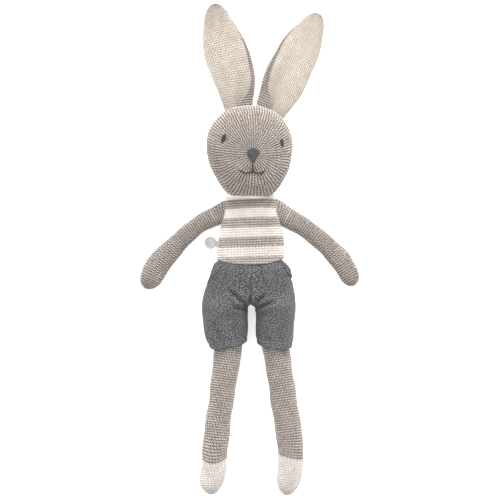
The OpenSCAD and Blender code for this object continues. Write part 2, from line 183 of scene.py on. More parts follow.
# ---------------------------------------------------------------------
# Meshes made of rows of points
# ---------------------------------------------------------------------
def normals(points, ring, middle):
    """Unit normals of rows of points, pointing away from middle, which is one point a row."""
    rows = np.gradient(points, axis=0)
    columns = np.roll(points, -1, 1) - np.roll(points, 1, 1) if ring else np.gradient(points, axis=1)
    n = np.cross(columns, rows)
    n /= np.maximum(np.linalg.norm(n, axis=2, keepdims=True), 1e-9)
    away = ((points - middle) * n).sum()
    return n if away > 0 else -n


def squared(value, power):
    """A sine or cosine bent so that a circle becomes a squarer outline. A power of 2 leaves it round."""
    return np.sign(value) * np.abs(value) ** (2 / power)


def even_angles(half_w, half_h, power, count):
    """Angles that space points evenly round a superellipse."""
    angle = np.linspace(0, 2 * math.pi, 4001)
    x = half_w * squared(np.cos(angle), power)
    z = half_h * squared(np.sin(angle), power)
    run = np.concatenate([[0], np.cumsum(np.hypot(np.diff(x), np.diff(z)))])
    return np.interp(np.linspace(0, run[-1], count, endpoint=False), run, angle)


def lie_down(points, level=TABLE_GAP, softness=0.5):
    """Presses what would be under the table flat on it."""
    lifted = points.copy()
    lifted[..., 2] = level + softness * np.logaddexp(0, (points[..., 2] - level) / softness)
    return lifted


def lumps(points, size=0.35):
    """The slight unevenness of filling: a few slow waves over the surface."""
    x, y, z = np.moveaxis(points, -1, 0)
    broad = np.sin(x / 5.1 + y / 9.7) * np.cos(z / 6.3 + y / 7.9)
    return size * (broad + 0.6 * np.sin(y / 4.3 - x / 6.1 + z / 5))


def stitch_relief(u, v, lean=LEAN):
    """Stocking stitch: 1 on top of the yarn, 0 in the gaps. Each is a V of a wide leg and a narrow one."""
    a = u % 1
    wide = a < WIDE_LEG
    t = np.where(wide, a / WIDE_LEG, (a - WIDE_LEG) / (1 - WIDE_LEG))
    down = np.where(wide, t, 1 - t)
    loop = np.abs(np.sin(np.pi * (v + lean * down)))
    loop = np.where(wide, loop, 0.4 + 0.6 * loop)
    return np.sin(np.pi * t) ** 0.7 * (0.1 + 0.9 * loop)


def placed(name, data):
    """A new object in the scene."""
    made = bpy.data.objects.new(name, data)
    bpy.context.scene.collection.objects.link(made)
    return made


def quads(rows, columns, ring):
    """Numbers of the points of a grid, and of the corners of the faces between them."""
    index = np.arange(rows * columns).reshape(rows, columns)
    wide = np.hstack([index, index[:, :1]]) if ring else index
    corner = [wide[:-1, :-1], wide[:-1, 1:], wide[1:, 1:], wide[1:, :-1]]
    return index, np.stack(corner, -1).reshape(-1, 4)


def grid_object(name, points, stitch=None, relief_and_shade=None, yarn=None, ring=True, caps=(True, True)):
    """A mesh of rows of points in millimetres.

    stitch holds (u, v) at each corner of the grid, with one more column than points where the rows are rings.
    It may be two such grids, for the first and second edges of each row of faces. relief holds the stitches'
    height at each point, and on the cloth painted shade instead; yarn holds the pale yarn's share. The
    materials read them.
    """
    rows, columns = points.shape[:2]
    index, between = quads(rows, columns, ring)
    faces = [between.ravel()]
    sizes = [np.full(len(between), 4)]
    if ring and caps[0]:
        faces.append(index[0][::-1])
        sizes.append([columns])
    if ring and caps[1]:
        faces.append(index[-1])
        sizes.append([columns])
    loops = np.concatenate(faces)
    sizes = np.concatenate(sizes)
    mesh = bpy.data.meshes.new(name)
    mesh.vertices.add(rows * columns)
    mesh.vertices.foreach_set("co", (points * MM).astype(np.float32).ravel())
    mesh.loops.add(len(loops))
    mesh.loops.foreach_set("vertex_index", loops.astype(np.int32))
    mesh.polygons.add(len(sizes))
    mesh.polygons.foreach_set("loop_start", np.concatenate([[0], np.cumsum(sizes)[:-1]]).astype(np.int32))
    mesh.polygons.foreach_set("loop_total", sizes.astype(np.int32))
    mesh.update(calc_edges=True)
    mesh.validate()
    if stitch is not None:
        layer = mesh.uv_layers.new(name="stitch")
        first, second = stitch if isinstance(stitch, tuple) else (stitch[:-1], stitch[1:])
        uv = [first[:, :-1], first[:, 1:], second[:, 1:], second[:, :-1]]
        flat = np.stack(uv, 2).reshape(-1, 2)
        rest = np.zeros((len(loops) - len(flat), 2))
        layer.data.foreach_set("uv", np.vstack([flat, rest]).astype(np.float32).ravel())
    for label, value in (("relief_and_shade", relief_and_shade), ("yarn", yarn)):
        if value is not None:
            at_points = np.broadcast_to(value, (rows, columns)).astype(np.float32)
            mesh.attributes.new(label, "FLOAT", "POINT").data.foreach_set("value", at_points.ravel())
    mesh.polygons.foreach_set("use_smooth", np.ones(len(sizes), bool))
    return placed(name, mesh)


def face_out(piece):
    """Turns the faces of a closed piece outwards."""
    editable = bmesh.new()
    editable.from_mesh(piece.data)
    bmesh.ops.recalc_face_normals(editable, faces=editable.faces)
    editable.to_mesh(piece.data)
    editable.free()
    return piece


def knit_object(name, points, u, v, middle, yarn=0.0):
    """A knitted tube on rings of points: u and v count stitches at each corner of the grid."""
    columns = points.shape[1]
    relief_and_shade = stitch_relief(u[:, :columns], v[:, :columns])
    rise = lumps(points) + KNIT_RELIEF * (relief_and_shade - 0.5)
    points = points + normals(points, True, middle) * rise[..., None]
    return face_out(grid_object(name, points, np.stack([u, v], -1), relief_and_shade, yarn))


def rounded_rows(start, end, root, tip, pitch):
    """A limb's rows, evenly spaced over its surface.

    They run from a round root of radius root at start to a round end of length tip at end. A root or tip of 0
    is an open end. Each row has its run over the surface, its place along the limb and its share of the full
    section.
    """
    straight = end - tip - start
    total = root * math.pi / 2 + straight + tip * math.pi / 2
    t = np.linspace(0, total, max(8, int(round(total / pitch)) + 1))
    a = np.clip(t / max(root, 1e-6), 0.08, math.pi / 2) if root else np.full_like(t, math.pi / 2)
    b = np.clip((t - root * math.pi / 2 - straight) / max(tip, 1e-6), 0, math.pi / 2 - 0.08)
    s = start - root * np.cos(a) + np.clip(t - root * math.pi / 2, 0, straight) + tip * np.sin(b)
    return t, s, np.sin(a) * np.cos(b)


def limb_middle(limb, s):
    """The middles of a limb's sections at s, and its heading there. sway moves them off the plain path."""
    x, y, heading = along(limb["path"], s)
    aside = smooth(limb["sway"], s)
    middle = np.stack([x + aside * np.sin(heading), y - aside * np.cos(heading), smooth(limb["rise"], s)], -1)
    return middle, heading


def limb_points(limb, s, share, columns):
    """Rings of points round a limb, and their middles."""
    middle, heading = limb_middle(limb, s)
    angle = np.linspace(0, 2 * math.pi, columns, endpoint=False)
    radius = (smooth(limb["width"], s) / 2 * share)[:, None]
    w, h = radius * np.cos(angle), radius * np.sin(angle)
    side = np.stack([np.sin(heading), -np.cos(heading), np.zeros_like(heading)], -1)
    points = middle[:, None] + w[..., None] * side[:, None] + h[..., None] * UP
    return points, middle[:, None]


def tube_stitches(wales, v, mirror):
    """u and v at the corners of a knitted tube's grid, from its rows v. mirror turns the stitches over."""
    turns = np.linspace(0, wales, wales * WALE_COLUMNS + 1)
    u = np.broadcast_to(-turns if mirror else turns, (len(v), len(turns)))
    return u, np.broadcast_to(v[:, None], u.shape)


def knit_limb(name, limb, start, end, root, tip, yarn=0.0, shift=None):
    """A knitted tube along a limb from start to end. shift(s, across) moves its points along y."""
    typical = np.mean([w for _s, w in limb["width"]])
    wales = int(round(math.pi * typical / WALE))
    t, s, share = rounded_rows(start, end, root, tip, COURSE / COURSE_ROWS)
    points, middle = limb_points(limb, s, share, wales * WALE_COLUMNS)
    points = lie_down(points)
    if shift:
        across = (points[..., 0] - middle[..., 0]) / (smooth(limb["width"], s)[:, None] / 2)
        points[..., 1] += shift(s[:, None], across)
    u, v = tube_stitches(wales, t / COURSE, limb["mirror"])
    return knit_object(name, points, u, v, middle, yarn)


# ---------------------------------------------------------------------
# Materials
# ---------------------------------------------------------------------
def new_material(name):
    """An empty material with its node tree and its shader."""
    material = bpy.data.materials.new(name)
    material.use_nodes = True
    tree = material.node_tree
    return material, tree, tree.nodes["Principled BSDF"]


def feed(tree, socket, value):
    """Gives an input a number, a colour or another node's output."""
    if isinstance(value, bpy.types.NodeSocket):
        tree.links.new(value, socket)
    elif isinstance(value, (int, float)):
        socket.default_value = value
    else:
        socket.default_value = (*value, 1)


def calc(tree, operation, *values):
    """A sum of numbers or outputs, as a node."""
    node = tree.nodes.new("ShaderNodeMath")
    node.operation = operation
    for socket, value in zip(node.inputs, values):
        feed(tree, socket, value)
    return node.outputs[0]


def noise(tree, place, scale, detail=3.0, stretch=(1, 1, 1)):
    """A noise texture at a place, pulled out of shape by stretch."""
    mapping = tree.nodes.new("ShaderNodeMapping")
    mapping.inputs["Scale"].default_value = stretch
    feed(tree, mapping.inputs["Vector"], place)
    node = tree.nodes.new("ShaderNodeTexNoise")
    node.inputs["Scale"].default_value = scale
    node.inputs["Detail"].default_value = detail
    feed(tree, node.inputs["Vector"], mapping.outputs[0])
    return node.outputs[0]


def ramp(tree, value, stops):
    """A colour ramp with (place, colour) stops."""
    node = tree.nodes.new("ShaderNodeValToRGB")
    while len(node.color_ramp.elements) < len(stops):
        node.color_ramp.elements.new(0.5)
    for element, (place, colour) in zip(node.color_ramp.elements, stops):
        element.position = place
        element.color = (*colour, 1)
    feed(tree, node.inputs["Fac"], value)
    return node.outputs[0]


def blend_colours(tree, kind, factor, a, b):
    """Two colours mixed or multiplied."""
    node = tree.nodes.new("ShaderNodeMix")
    node.data_type = "RGBA"
    node.blend_type = kind
    feed(tree, node.inputs[0], factor)
    feed(tree, node.inputs[6], a)
    feed(tree, node.inputs[7], b)
    return node.outputs[2]


def bump(tree, shader, height, strength, distance):
    """Fine relief that the mesh doesn't have."""
    node = tree.nodes.new("ShaderNodeBump")
    node.inputs["Strength"].default_value = strength
    node.inputs["Distance"].default_value = distance * MM
    feed(tree, node.inputs["Height"], height)
    feed(tree, shader.inputs["Normal"], node.outputs[0])


def attribute(tree, name):
    """A value that the mesh holds at its points."""
    node = tree.nodes.new("ShaderNodeAttribute")
    node.attribute_name = name
    return node.outputs["Fac"]


def set_inputs(shader, values):
    """Sets some of a shader's plain inputs by name."""
    for name, value in values.items():
        shader.inputs[name].default_value = value


def object_place(tree):
    """The place on the object, in metres."""
    return tree.nodes.new("ShaderNodeTexCoord").outputs["Object"]


def stitch_place(tree):
    """The stitch coordinates as one output, and apart as u and v."""
    uv = tree.nodes.new("ShaderNodeUVMap")
    uv.uv_map = "stitch"
    apart = tree.nodes.new("ShaderNodeSeparateXYZ")
    feed(tree, apart.inputs[0], uv.outputs[0])
    return uv.outputs[0], apart.outputs[0], apart.outputs[1]


def stitch_nodes(tree, u, v, lean):
    """stitch_relief as nodes. It also gives the row that each strand belongs to."""
    a = calc(tree, "FRACT", u)
    wide = calc(tree, "LESS_THAN", a, WIDE_LEG)
    narrow = calc(tree, "SUBTRACT", 1.0, wide)
    over_wide = calc(tree, "DIVIDE", a, WIDE_LEG)
    over_narrow = calc(tree, "DIVIDE", calc(tree, "SUBTRACT", a, WIDE_LEG), 1 - WIDE_LEG)
    on_wide = calc(tree, "MULTIPLY", wide, over_wide)
    t = calc(tree, "ADD", on_wide, calc(tree, "MULTIPLY", narrow, over_narrow))
    back = calc(tree, "SUBTRACT", 1.0, over_narrow)
    down = calc(tree, "ADD", on_wide, calc(tree, "MULTIPLY", narrow, back))
    row = calc(tree, "MULTIPLY_ADD", down, lean, v)
    loop = calc(tree, "ABSOLUTE", calc(tree, "SINE", calc(tree, "MULTIPLY", row, math.pi)))
    share = calc(tree, "MULTIPLY_ADD", wide, 0.4, 0.6)
    loop = calc(tree, "ADD", calc(tree, "MULTIPLY", loop, share), calc(tree, "SUBTRACT", 1.0, share))
    strand = calc(tree, "POWER", calc(tree, "SINE", calc(tree, "MULTIPLY", t, math.pi)), 0.7)
    return calc(tree, "MULTIPLY", strand, calc(tree, "MULTIPLY_ADD", loop, 0.9, 0.1)), row


def knit_material(name, striped=False, lean=LEAN, dark=(TAUPE_GAP_SHADE, TAUPE, TAUPE_TOP_HIGHLIGHT),
                  pale=(CREAM_GAP_SHADE, CREAM, CREAM_TOP_HIGHLIGHT), painted_glow=0.0):
    """Yarn in two colours, with uneven dye and loose fibre.

    dark and pale are each yarn's painted shade in the gaps between stitches, its own colour on the sides
    and a painted highlight on top. The glow is painted light that keeps the pale yarn bright under the chin.
    """
    material, tree, shader = new_material(name)
    place, u, v = stitch_place(tree)
    wobble = calc(tree, "MULTIPLY", calc(tree, "SUBTRACT", noise(tree, place, 1.3, 2.0), 0.5), 0.34)
    relief_and_shade, row = stitch_nodes(tree, calc(tree, "ADD", u, wobble), calc(tree, "ADD", v, wobble), lean)
    uneven = calc(tree, "MULTIPLY_ADD", noise(tree, place, 2.1, 3.0), 0.5, 0.75)
    relief_and_shade = calc(tree, "MULTIPLY", relief_and_shade, uneven)
    # These ramps paint shade into the gaps between stitches and a highlight onto their tops.
    taupe = ramp(tree, relief_and_shade, list(zip((0.22, 0.5, 0.82), dark)))
    cream = ramp(tree, relief_and_shade, list(zip((0.14, 0.42, 0.78), pale)))
    neck = yarn = attribute(tree, "yarn")
    if striped:
        band = calc(tree, "LESS_THAN", calc(tree, "FRACT", calc(tree, "DIVIDE", row, STRIPE_ROWS)), 0.5)
        yarn = calc(tree, "MAXIMUM", yarn, calc(tree, "MULTIPLY", band, calc(tree, "GREATER_THAN", row, 0.0)))
    colour = blend_colours(tree, "MIX", yarn, taupe, cream)
    heather = ramp(tree, noise(tree, place, 0.35, 4.0), [(0.3, (0.84, 0.84, 0.85)), (0.7, (1.0, 1.0, 1.0))])
    fibre = noise(tree, place, 6.0, 4.0, (1.0, 2.4, 1.0))
    fleck = ramp(tree, fibre, [(0.3, (0.8, 0.8, 0.8)), (0.68, (1.0, 1.0, 1.0))])
    varied = blend_colours(tree, "MULTIPLY", 1.0, colour, heather)
    dyed = blend_colours(tree, "MULTIPLY", 1.0, varied, fleck)
    feed(tree, shader.inputs["Base Color"], dyed)
    # Painted light: the pale yarn glows by its share, so that the neck stays bright in the chin's shadow.
    if painted_glow:
        feed(tree, shader.inputs["Emission Color"], dyed)
        feed(tree, shader.inputs["Emission Strength"], calc(tree, "MULTIPLY", neck, painted_glow))
    set_inputs(shader, {"Roughness": 0.92, "Specular IOR Level": 0.1})
    set_inputs(shader, {"Sheen Weight": 0.12, "Sheen Roughness": 0.6})
    bump(tree, shader, calc(tree, "MULTIPLY_ADD", fibre, 0.35, relief_and_shade), 1.0, 0.7)
    return material


def chambray_material():
    """Grey chambray: dark warp and pale weft in a fine weave with slubs and washed patches."""
    material, tree, shader = new_material("chambray")
    place, _u, _v = stitch_place(tree)
    up_threads = noise(tree, place, 1.35, 2.0, (1.6, 0.4, 1))
    warp = ramp(tree, up_threads, [(0.42, CHAMBRAY_DARK), (0.58, CHAMBRAY_MID)])
    cross_threads = noise(tree, place, 1.25, 2.0, (0.8, 1.3, 1))
    weft = ramp(tree, cross_threads, [(0.47, CHAMBRAY_DARK), (0.62, CHAMBRAY_PALE)])
    woven = blend_colours(tree, "MIX", noise(tree, place, 2.2, 1.0), warp, weft)
    worn = ramp(tree, noise(tree, place, 0.06, 2.0), [(0.3, (0.8, 0.8, 0.81)), (0.7, (1.0, 1.0, 1.0))])
    # Painted shade: the relief value at each point darkens the cloth at its folds, in its creases and on its
    # turned-in inside.
    edge = ramp(tree, attribute(tree, "relief_and_shade"), [(0.0, (0.5, 0.5, 0.51)), (0.5, (1.0, 1.0, 1.0))])
    colour = blend_colours(tree, "MULTIPLY", 1.0, woven, worn)
    feed(tree, shader.inputs["Base Color"], blend_colours(tree, "MULTIPLY", 1.0, colour, edge))
    set_inputs(shader, {"Roughness": 0.88, "Sheen Weight": 0.08, "Specular IOR Level": 0.15})
    bump(tree, shader, woven, 0.6, 0.3)
    return material


def thread_material(name, dark, pale, roughness=0.5):
    """Embroidery or sewing thread: a soft gloss, and shade that changes along each strand."""
    material, tree, shader = new_material(name)
    place = object_place(tree)
    twist = noise(tree, place, 900.0, 3.0)
    feed(tree, shader.inputs["Base Color"], ramp(tree, twist, [(0.3, dark), (0.7, pale)]))
    set_inputs(shader, {"Roughness": roughness})
    bump(tree, shader, twist, 0.3, 0.15)
    return material


def clear_material():
    """Thin, slightly milky plastic."""
    material, tree, shader = new_material("clear_plastic")
    place = object_place(tree)
    cloud = noise(tree, place, 260.0, 2.0)
    milky = ramp(tree, cloud, [(0.3, (0.58, 0.57, 0.62)), (0.7, (0.68, 0.67, 0.73))])
    feed(tree, shader.inputs["Base Color"], milky)
    set_inputs(shader, {"Roughness": 0.22, "IOR": 1.49, "Alpha": 0.55})
    return material


def floor_material():
    """A white floor that stays bright under the doll."""
    material, tree, shader = new_material("pale_floor")
    place = object_place(tree)
    cloud = noise(tree, place, 3.0, 2.0)
    white = ramp(tree, cloud, [(0.3, (0.9, 0.9, 0.905)), (0.7, (0.92, 0.92, 0.925))])
    feed(tree, shader.inputs["Base Color"], white)
    feed(tree, shader.inputs["Emission Color"], white)
    set_inputs(shader, {"Emission Strength": FLOOR_GLOW, "Roughness": 0.9, "Specular IOR Level": 0.1})
    return material


KNIT = knit_material("knitted_yarn")
RIBBED_KNIT = knit_material("ribbed_yarn", lean=RIB_LEAN, dark=(TAUPE_GAP_SHADE, DARK_TAUPE, DARK_TAUPE_TOP_HIGHLIGHT))
ARM_KNIT = knit_material("arm_yarn", dark=(TAUPE_GAP_SHADE, DARK_TAUPE, DARK_TAUPE_TOP_HIGHLIGHT))
# The striped and neck yarns glow: painted light that keeps the neck bright under the chin.
STRIPED_KNIT = knit_material("striped_knit", striped=True, painted_glow=0.3)
EAR_KNIT = knit_material("ear_yarn", pale=(EAR_CREAM_GAP_SHADE, EAR_CREAM, EAR_CREAM_TOP_HIGHLIGHT))
NECK_KNIT = knit_material("neck_yarn", painted_glow=0.5)
CHAMBRAY = chambray_material()
SATIN_SLATE = thread_material("slate_thread", (0.012, 0.015, 0.017), (0.07, 0.08, 0.085), 0.45)
DARK_SLATE = thread_material("mouth_thread", (0.006, 0.007, 0.008), (0.03, 0.034, 0.036), 0.5)
SATIN_BARK = thread_material("bark_thread", (0.012, 0.009, 0.008), (0.04, 0.03, 0.024), 0.6)
PALE_THREAD = thread_material("pale_thread", (0.2, 0.2, 0.205), (0.34, 0.34, 0.35), 0.6)
CLEAR = clear_material()


def dress(piece, material):
    """Gives a piece its material."""
    piece.data.materials.append(material)


def filled(piece, fill, *nodes):
    """Hides the CAD nodes that a padded piece stands for."""
    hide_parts(*nodes)


# ---------------------------------------------------------------------
# Head: a round cover whose ribs radiate from the nose, as it is knitted
# ---------------------------------------------------------------------
NOSE = np.array([3.0, 78.6])  # the nose's place on the face, in x and y
HEAD_RIBS = (12, 16, 24, 32, 48, 60, 80, 96)  # ribs round, as decreases leave them towards the nose
RIB = 2.15  # distance between ribs
HEAD_ROWS = 190
WIDEST_Y = HEAD_MID[1] + 2.5
HEAD_CENTRE = np.array([HEAD_MID[0], WIDEST_Y, HEAD_MID[2]])
CROWN = (HEAD_HIGH[1] - WIDEST_Y, 2.15)  # reach and power of the outline above the widest place
JAW = (48.0, 1.7)  # the outline below it, seen from the front
CHIN = (40.6, 2.3)  # and seen from the side


def bow(y, below):
    """How far the head's outline has come in at a height y: 1 at the widest place and 0 at the end."""
    rise = np.asarray(y, float) - WIDEST_Y
    reach = np.where(rise > 0, CROWN[0], below[0])
    power = np.where(rise > 0, CROWN[1], below[1])
    share = np.clip(1 - np.minimum(np.abs(rise) / reach, 1) ** power, 1e-9, 1)
    return share ** (1 / power)


def head_middle(y):
    """x of the head's middle: below the eyes it leans a little towards +X."""
    return HEAD_MID[0] + 0.9 * step(WIDEST_Y, WIDEST_Y - 25, y)


def head_surface(direction):
    """The head's surface from its middle along unit directions."""
    near = np.zeros(direction.shape[:-1])
    far = near + 2 * HEAD_HALF.max()
    for _halving in range(36):
        reach = (near + far) / 2
        x, y, z = np.moveaxis(HEAD_CENTRE + direction * reach[..., None], -1, 0)
        across = (x - head_middle(y)) / (HEAD_HALF[0] * bow(y, JAW))
        out = (z - HEAD_MID[2]) / (HEAD_HALF[2] * bow(y, CHIN))
        within = across**2 + out**2 < 1
        near, far = np.where(within, reach, near), np.where(within, far, reach)
    return HEAD_CENTRE + direction * near[..., None]


def face_height(x, y):
    """z of the bare face above a place in plan."""
    across = (x - head_middle(y)) / (HEAD_HALF[0] * bow(y, JAW))
    return HEAD_MID[2] + HEAD_HALF[2] * bow(y, CHIN) * np.sqrt(np.clip(1 - across**2, 0, 1))


EYES = {  # middle, width, length, lean to the right in degrees
    "left": (-20.9, 90.6, 3.0, 7.8, 20),
    "right": (26.4, 87.3, 2.4, 7.0, -6),
}


def face_dimples(points):
    """The pull of the stitches round each eye and along the mouth."""
    x, y, z = np.moveaxis(points, -1, 0)
    front = step(HEAD_MID[2], HEAD_HIGH[2] * 0.7, z)
    pull = 0
    for eye in EYES.values():
        pull = pull + 1.0 * np.exp(-((x - eye[0]) ** 2 + (y - eye[1]) ** 2) / 22)
    pull = pull + 0.9 * np.exp(-((x - NOSE[0]) ** 2 / 60 + (y - NOSE[1] + 14) ** 2 / 12))
    pull = pull + 0.5 * np.exp(-((x - NOSE[0]) ** 2 + (y - NOSE[1]) ** 2) / 60)
    return -pull * front


def head_cover():
    """The knitted head: rows run out from the nose and round to the back."""
    columns = HEAD_RIBS[-1] * 5
    nose_point = np.array([NOSE[0], NOSE[1], face_height(*NOSE)])
    axis = (nose_point - HEAD_CENTRE) / np.linalg.norm(nose_point - HEAD_CENTRE)
    side = np.cross([0, 1, 0], axis)
    side /= np.linalg.norm(side)
    up = np.cross(axis, side)
    polar = np.linspace(0.05, math.pi - 0.04, HEAD_ROWS)
    turn = (np.linspace(0, 2 * math.pi, columns, endpoint=False) - math.pi / 2)[None, :, None]
    tilt = polar[:, None, None]
    direction = np.cos(tilt) * axis + np.sin(tilt) * (np.cos(turn) * side + np.sin(turn) * up)
    points = lie_down(head_surface(direction), softness=0.8)
    length = 2 * math.pi * HEAD_HALF.mean() * np.sin(polar)
    ribs = np.array([min(HEAD_RIBS, key=lambda n: abs(math.log(n * RIB / around))) for around in length])
    v = ribs[:, None] * np.linspace(0, 1, columns + 1)[None]
    u = np.broadcast_to((polar * HEAD_HALF.mean() / WALE)[:, None], v.shape)
    relief_and_shade = stitch_relief(u[:, :columns], v[:, :columns], RIB_LEAN)
    rise = lumps(points, 0.25) + face_dimples(points) + KNIT_RELIEF * (relief_and_shade - 0.5)
    points = points + normals(points, True, HEAD_CENTRE) * rise[..., None]
    edges = np.stack([u[:-1], v[:-1]], -1), np.stack([u[1:], v[:-1]], -1)
    cover = face_out(grid_object("head_cover", points, edges, relief_and_shade, 0.0))
    dress(cover, RIBBED_KNIT)
    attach(cover, "head")
    filled(cover, 0.85, "head_knit", "head_stuffing")


# ---------------------------------------------------------------------
# Embroidery: satin strands laid side by side on the face
# ---------------------------------------------------------------------
def strand_points(line, radius, sides=8):
    """Rings of points round a thread laid along a line, thinner where it dives into the knit."""
    line = np.asarray(line, float)
    forward = np.gradient(line, axis=0)
    forward /= np.linalg.norm(forward, axis=1, keepdims=True)
    across = np.cross(forward, UP)
    across /= np.maximum(np.linalg.norm(across, axis=1, keepdims=True), 1e-9)
    lift = np.cross(across, forward)
    t = np.linspace(0, 1, len(line))
    r = radius * np.sqrt(np.clip(1 - np.abs(2 * t - 1) ** 6, 0.05, 1))
    angle = np.linspace(0, 2 * math.pi, sides, endpoint=False)
    ring = np.cos(angle)[:, None] * across[:, None] + np.sin(angle)[:, None] * lift[:, None]
    return line[:, None] + ring * r[:, None, None]


def joined(name, grids):
    """One mesh from several closed grids of points."""
    verts, faces = [], []
    for points in grids:
        rows, columns = points.shape[:2]
        index, between = quads(rows, columns, True)
        first = len(verts)
        faces.extend((first + between).tolist())
        faces.append((first + index[0][::-1]).tolist())
        faces.append((first + index[-1]).tolist())
        verts.extend((points.reshape(-1, 3) * MM).tolist())
    mesh = bpy.data.meshes.new(name)
    mesh.from_pydata(verts, [], faces)
    mesh.polygons.foreach_set("use_smooth", np.ones(len(faces), bool))
    return face_out(placed(name, mesh))


def on_face(x, y, height):
    """Points on the face at that height over the bare surface, dimples included."""
    x, y = np.broadcast_arrays(np.asarray(x, float), np.asarray(y, float))
    bare = np.stack([x, y, face_height(x, y)], -1)
    return bare + UP * (face_dimples(bare) + height)[..., None]


def satin(name, centre, width, length, lean, strands, material, node, shape, puff=0.5):
    """A satin-stitched shape: strands side by side. shape(t) gives the ends of each, with t from -1 to 1."""
    tilt = math.radians(lean)
    grids = []
    radius = width / strands * 0.68
    for k in range(strands):
        t = (k + 0.5) / strands * 2 - 1
        low, high = shape(t)
        y = np.linspace(low, high, 14) * length / 2
        x = np.full_like(y, t * width / 2) + 0.08 * np.sin(7 * t + 3)
        px = centre[0] + x * math.cos(tilt) + y * math.sin(tilt)
        py = centre[1] - x * math.sin(tilt) + y * math.cos(tilt)
        arch = puff * math.sqrt(max(0, 1 - t * t)) + 0.25 * np.sin(np.pi * np.linspace(0, 1, len(y)))
        grids.append(strand_points(on_face(px, py, 0.25 + arch), radius))
    piece = joined(name, grids)
    dress(piece, material)
    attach(piece, "head")
    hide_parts(node)


def oval(t):
    """An eye's outline."""
    reach = math.sqrt(max(0.02, 1 - t * t))
    return -reach, reach


def nose_shape(t):
    """Round on top and coming to a point below."""
    top = 0.62 + 0.38 * math.sqrt(max(0, 1 - abs(t) ** 2.4))
    bottom = -1 + 1.22 * abs(t) ** 1.25
    return bottom, top - 0.42 * abs(t) ** 4


MOUTH_FORK_Y = NOSE[1] - 14.2
MOUTH_ARCS = (  # x and y of the end, and how far the arc sags
    (-8.0, 65.2, 7.56),
    (12.3, 64.2, 7.02),
)


def mouth_lines():
    """Lines in plan: down from the nose, and a shallow arc to each side."""
    y = np.linspace(NOSE[1] - 5.6, MOUTH_FORK_Y - 0.6, 18)
    lines = [np.stack([np.full_like(y, NOSE[0] - 0.2), y], -1)]
    t = np.linspace(0, 1, 30)
    for end_x, end_y, sag in MOUTH_ARCS:
        x = (NOSE[0] - 0.2) + (end_x - NOSE[0]) * t
        y = (MOUTH_FORK_Y - 0.3) * (1 - t) + end_y * t - sag * t * (1 - t)
        lines.append(np.stack([x, y], -1))
    return lines


def mouth_thread():
    """The mouth's lines in backstitch."""
    grids = []
    for line in mouth_lines():
        stitches = max(3, int(round(np.linalg.norm(np.diff(line, axis=0), axis=1).sum() / 3.2)))
        for k in range(stitches):
            t = np.linspace(k / stitches - 0.03, (k + 1) / stitches + 0.03, 9)
            at = np.clip(t, 0, 1) * (len(line) - 1)
            x = np.interp(at, np.arange(len(line)), line[:, 0])
            y = np.interp(at, np.arange(len(line)), line[:, 1])
            arch = 0.28 * np.sin(np.pi * np.linspace(0, 1, 9))
            grids.append(strand_points(on_face(x, y, 0.35 + arch), 0.62))
    piece = joined("mouth_thread", grids)
    dress(piece, DARK_SLATE)
    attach(piece, "head")
    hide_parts("mouth")


def face():
    """Both eyes, the nose and the mouth."""
    for side, (x, y, width, length, lean) in EYES.items():
        satin(f"{side}_eye_satin", (x, y), width, length, lean, 5,
              SATIN_BARK, f"{side}_eye", oval)
    middle = NOSE - [0, 1.6]
    satin("nose_satin", middle, 9.8, 12.4, 2, 13, SATIN_SLATE, "nose", nose_shape, 1.3)
    mouth_thread()


# ---------------------------------------------------------------------
# Ears
# ---------------------------------------------------------------------
# Every table below has (place along the ear from its root, value) pairs. inner is the side of the other ear.
LEFT_EAR = dict(path=(LEFT_EAR_ROOT[0], LEFT_EAR_ROOT[1], 96, [(83, 11)]), length=85.2, inner=1,
                width=[(-14, 19), (0, 23.4), (10, 28.6), (20, 32.8), (30, 35.4), (40, 36.4), (50, 34.2),
                       (60, 29.8), (70, 23), (80, 17)],
                sway=[(-10, 1.4), (0, 1), (20, 1), (40, -1.4), (55, -2.8), (70, -3.2), (82, -2.2)],
                fold=[(-14, 12.5), (-1, 11.4), (4, 9.2), (9, 5.4), (14, 3), (20, 2), (33, 1.3), (57, 0.3),
                      (68, 0)])
RIGHT_EAR = dict(path=(RIGHT_EAR_ROOT[0], RIGHT_EAR_ROOT[1], 66, [(82, -3)]), length=85.2, inner=-1,
                 width=[(-14, 21), (0, 26), (10, 30.4), (20, 34.2), (30, 35), (40, 33.8), (50, 33),
                        (60, 29.4), (70, 22.4), (80, 16)],
                 sway=[(-10, 0.6), (0, 0.9), (10, 1.4), (30, 1.2), (45, 1.4), (60, 1.9), (70, 2.3),
                       (82, 2.1)],
                 fold=[(-14, 12.5), (-1, 11.8), (5, 9.8), (12, 6.2), (23, 4.2), (38, 2), (46, 1), (63, 0.3),
                       (70, 0)])
EAR_TIP = 9.0
EAR_LOW = 0.7
EAR_HIGH = 5.6
BACK_END = 0.62  # share of the outside's columns that lie along the ear's back
BEND_END = 0.74  # and the share where the inner edge has been turned and the fold starts


def ear_points(ear, s, across, z):
    """Points at signed distances from the ear's middle line towards its inner edge, at height z."""
    x, y, heading = along(ear["path"], s)
    aside = ear["inner"] * across + smooth(ear["sway"], s)[:, None]
    return np.stack([x[:, None] + aside * np.sin(heading)[:, None],
                     y[:, None] - aside * np.cos(heading)[:, None], z], -1)


def fold_height(s):
    """How much the folded edge stands up from the rest of the ear."""
    return smooth([(-14, 2.0), (0, 3.0), (14, 2.6), (34, 1.4), (60, 0.2), (80, 0)], s)


def close_layer(name, upper, lower, u, v, relief_and_shade, yarn):
    """A flat closed piece from an upper and a lower grid of points."""
    points = np.concatenate([upper, lower[:, ::-1]], axis=1)
    stitch_u = np.concatenate([u, u[:, ::-1], u[:, :1]], axis=1)
    stitch_v = np.broadcast_to(v[:, :1], stitch_u.shape)
    both = np.concatenate([relief_and_shade, relief_and_shade[:, ::-1]], axis=1)
    return face_out(grid_object(name, points, np.stack([stitch_u, stitch_v], -1), both, yarn))


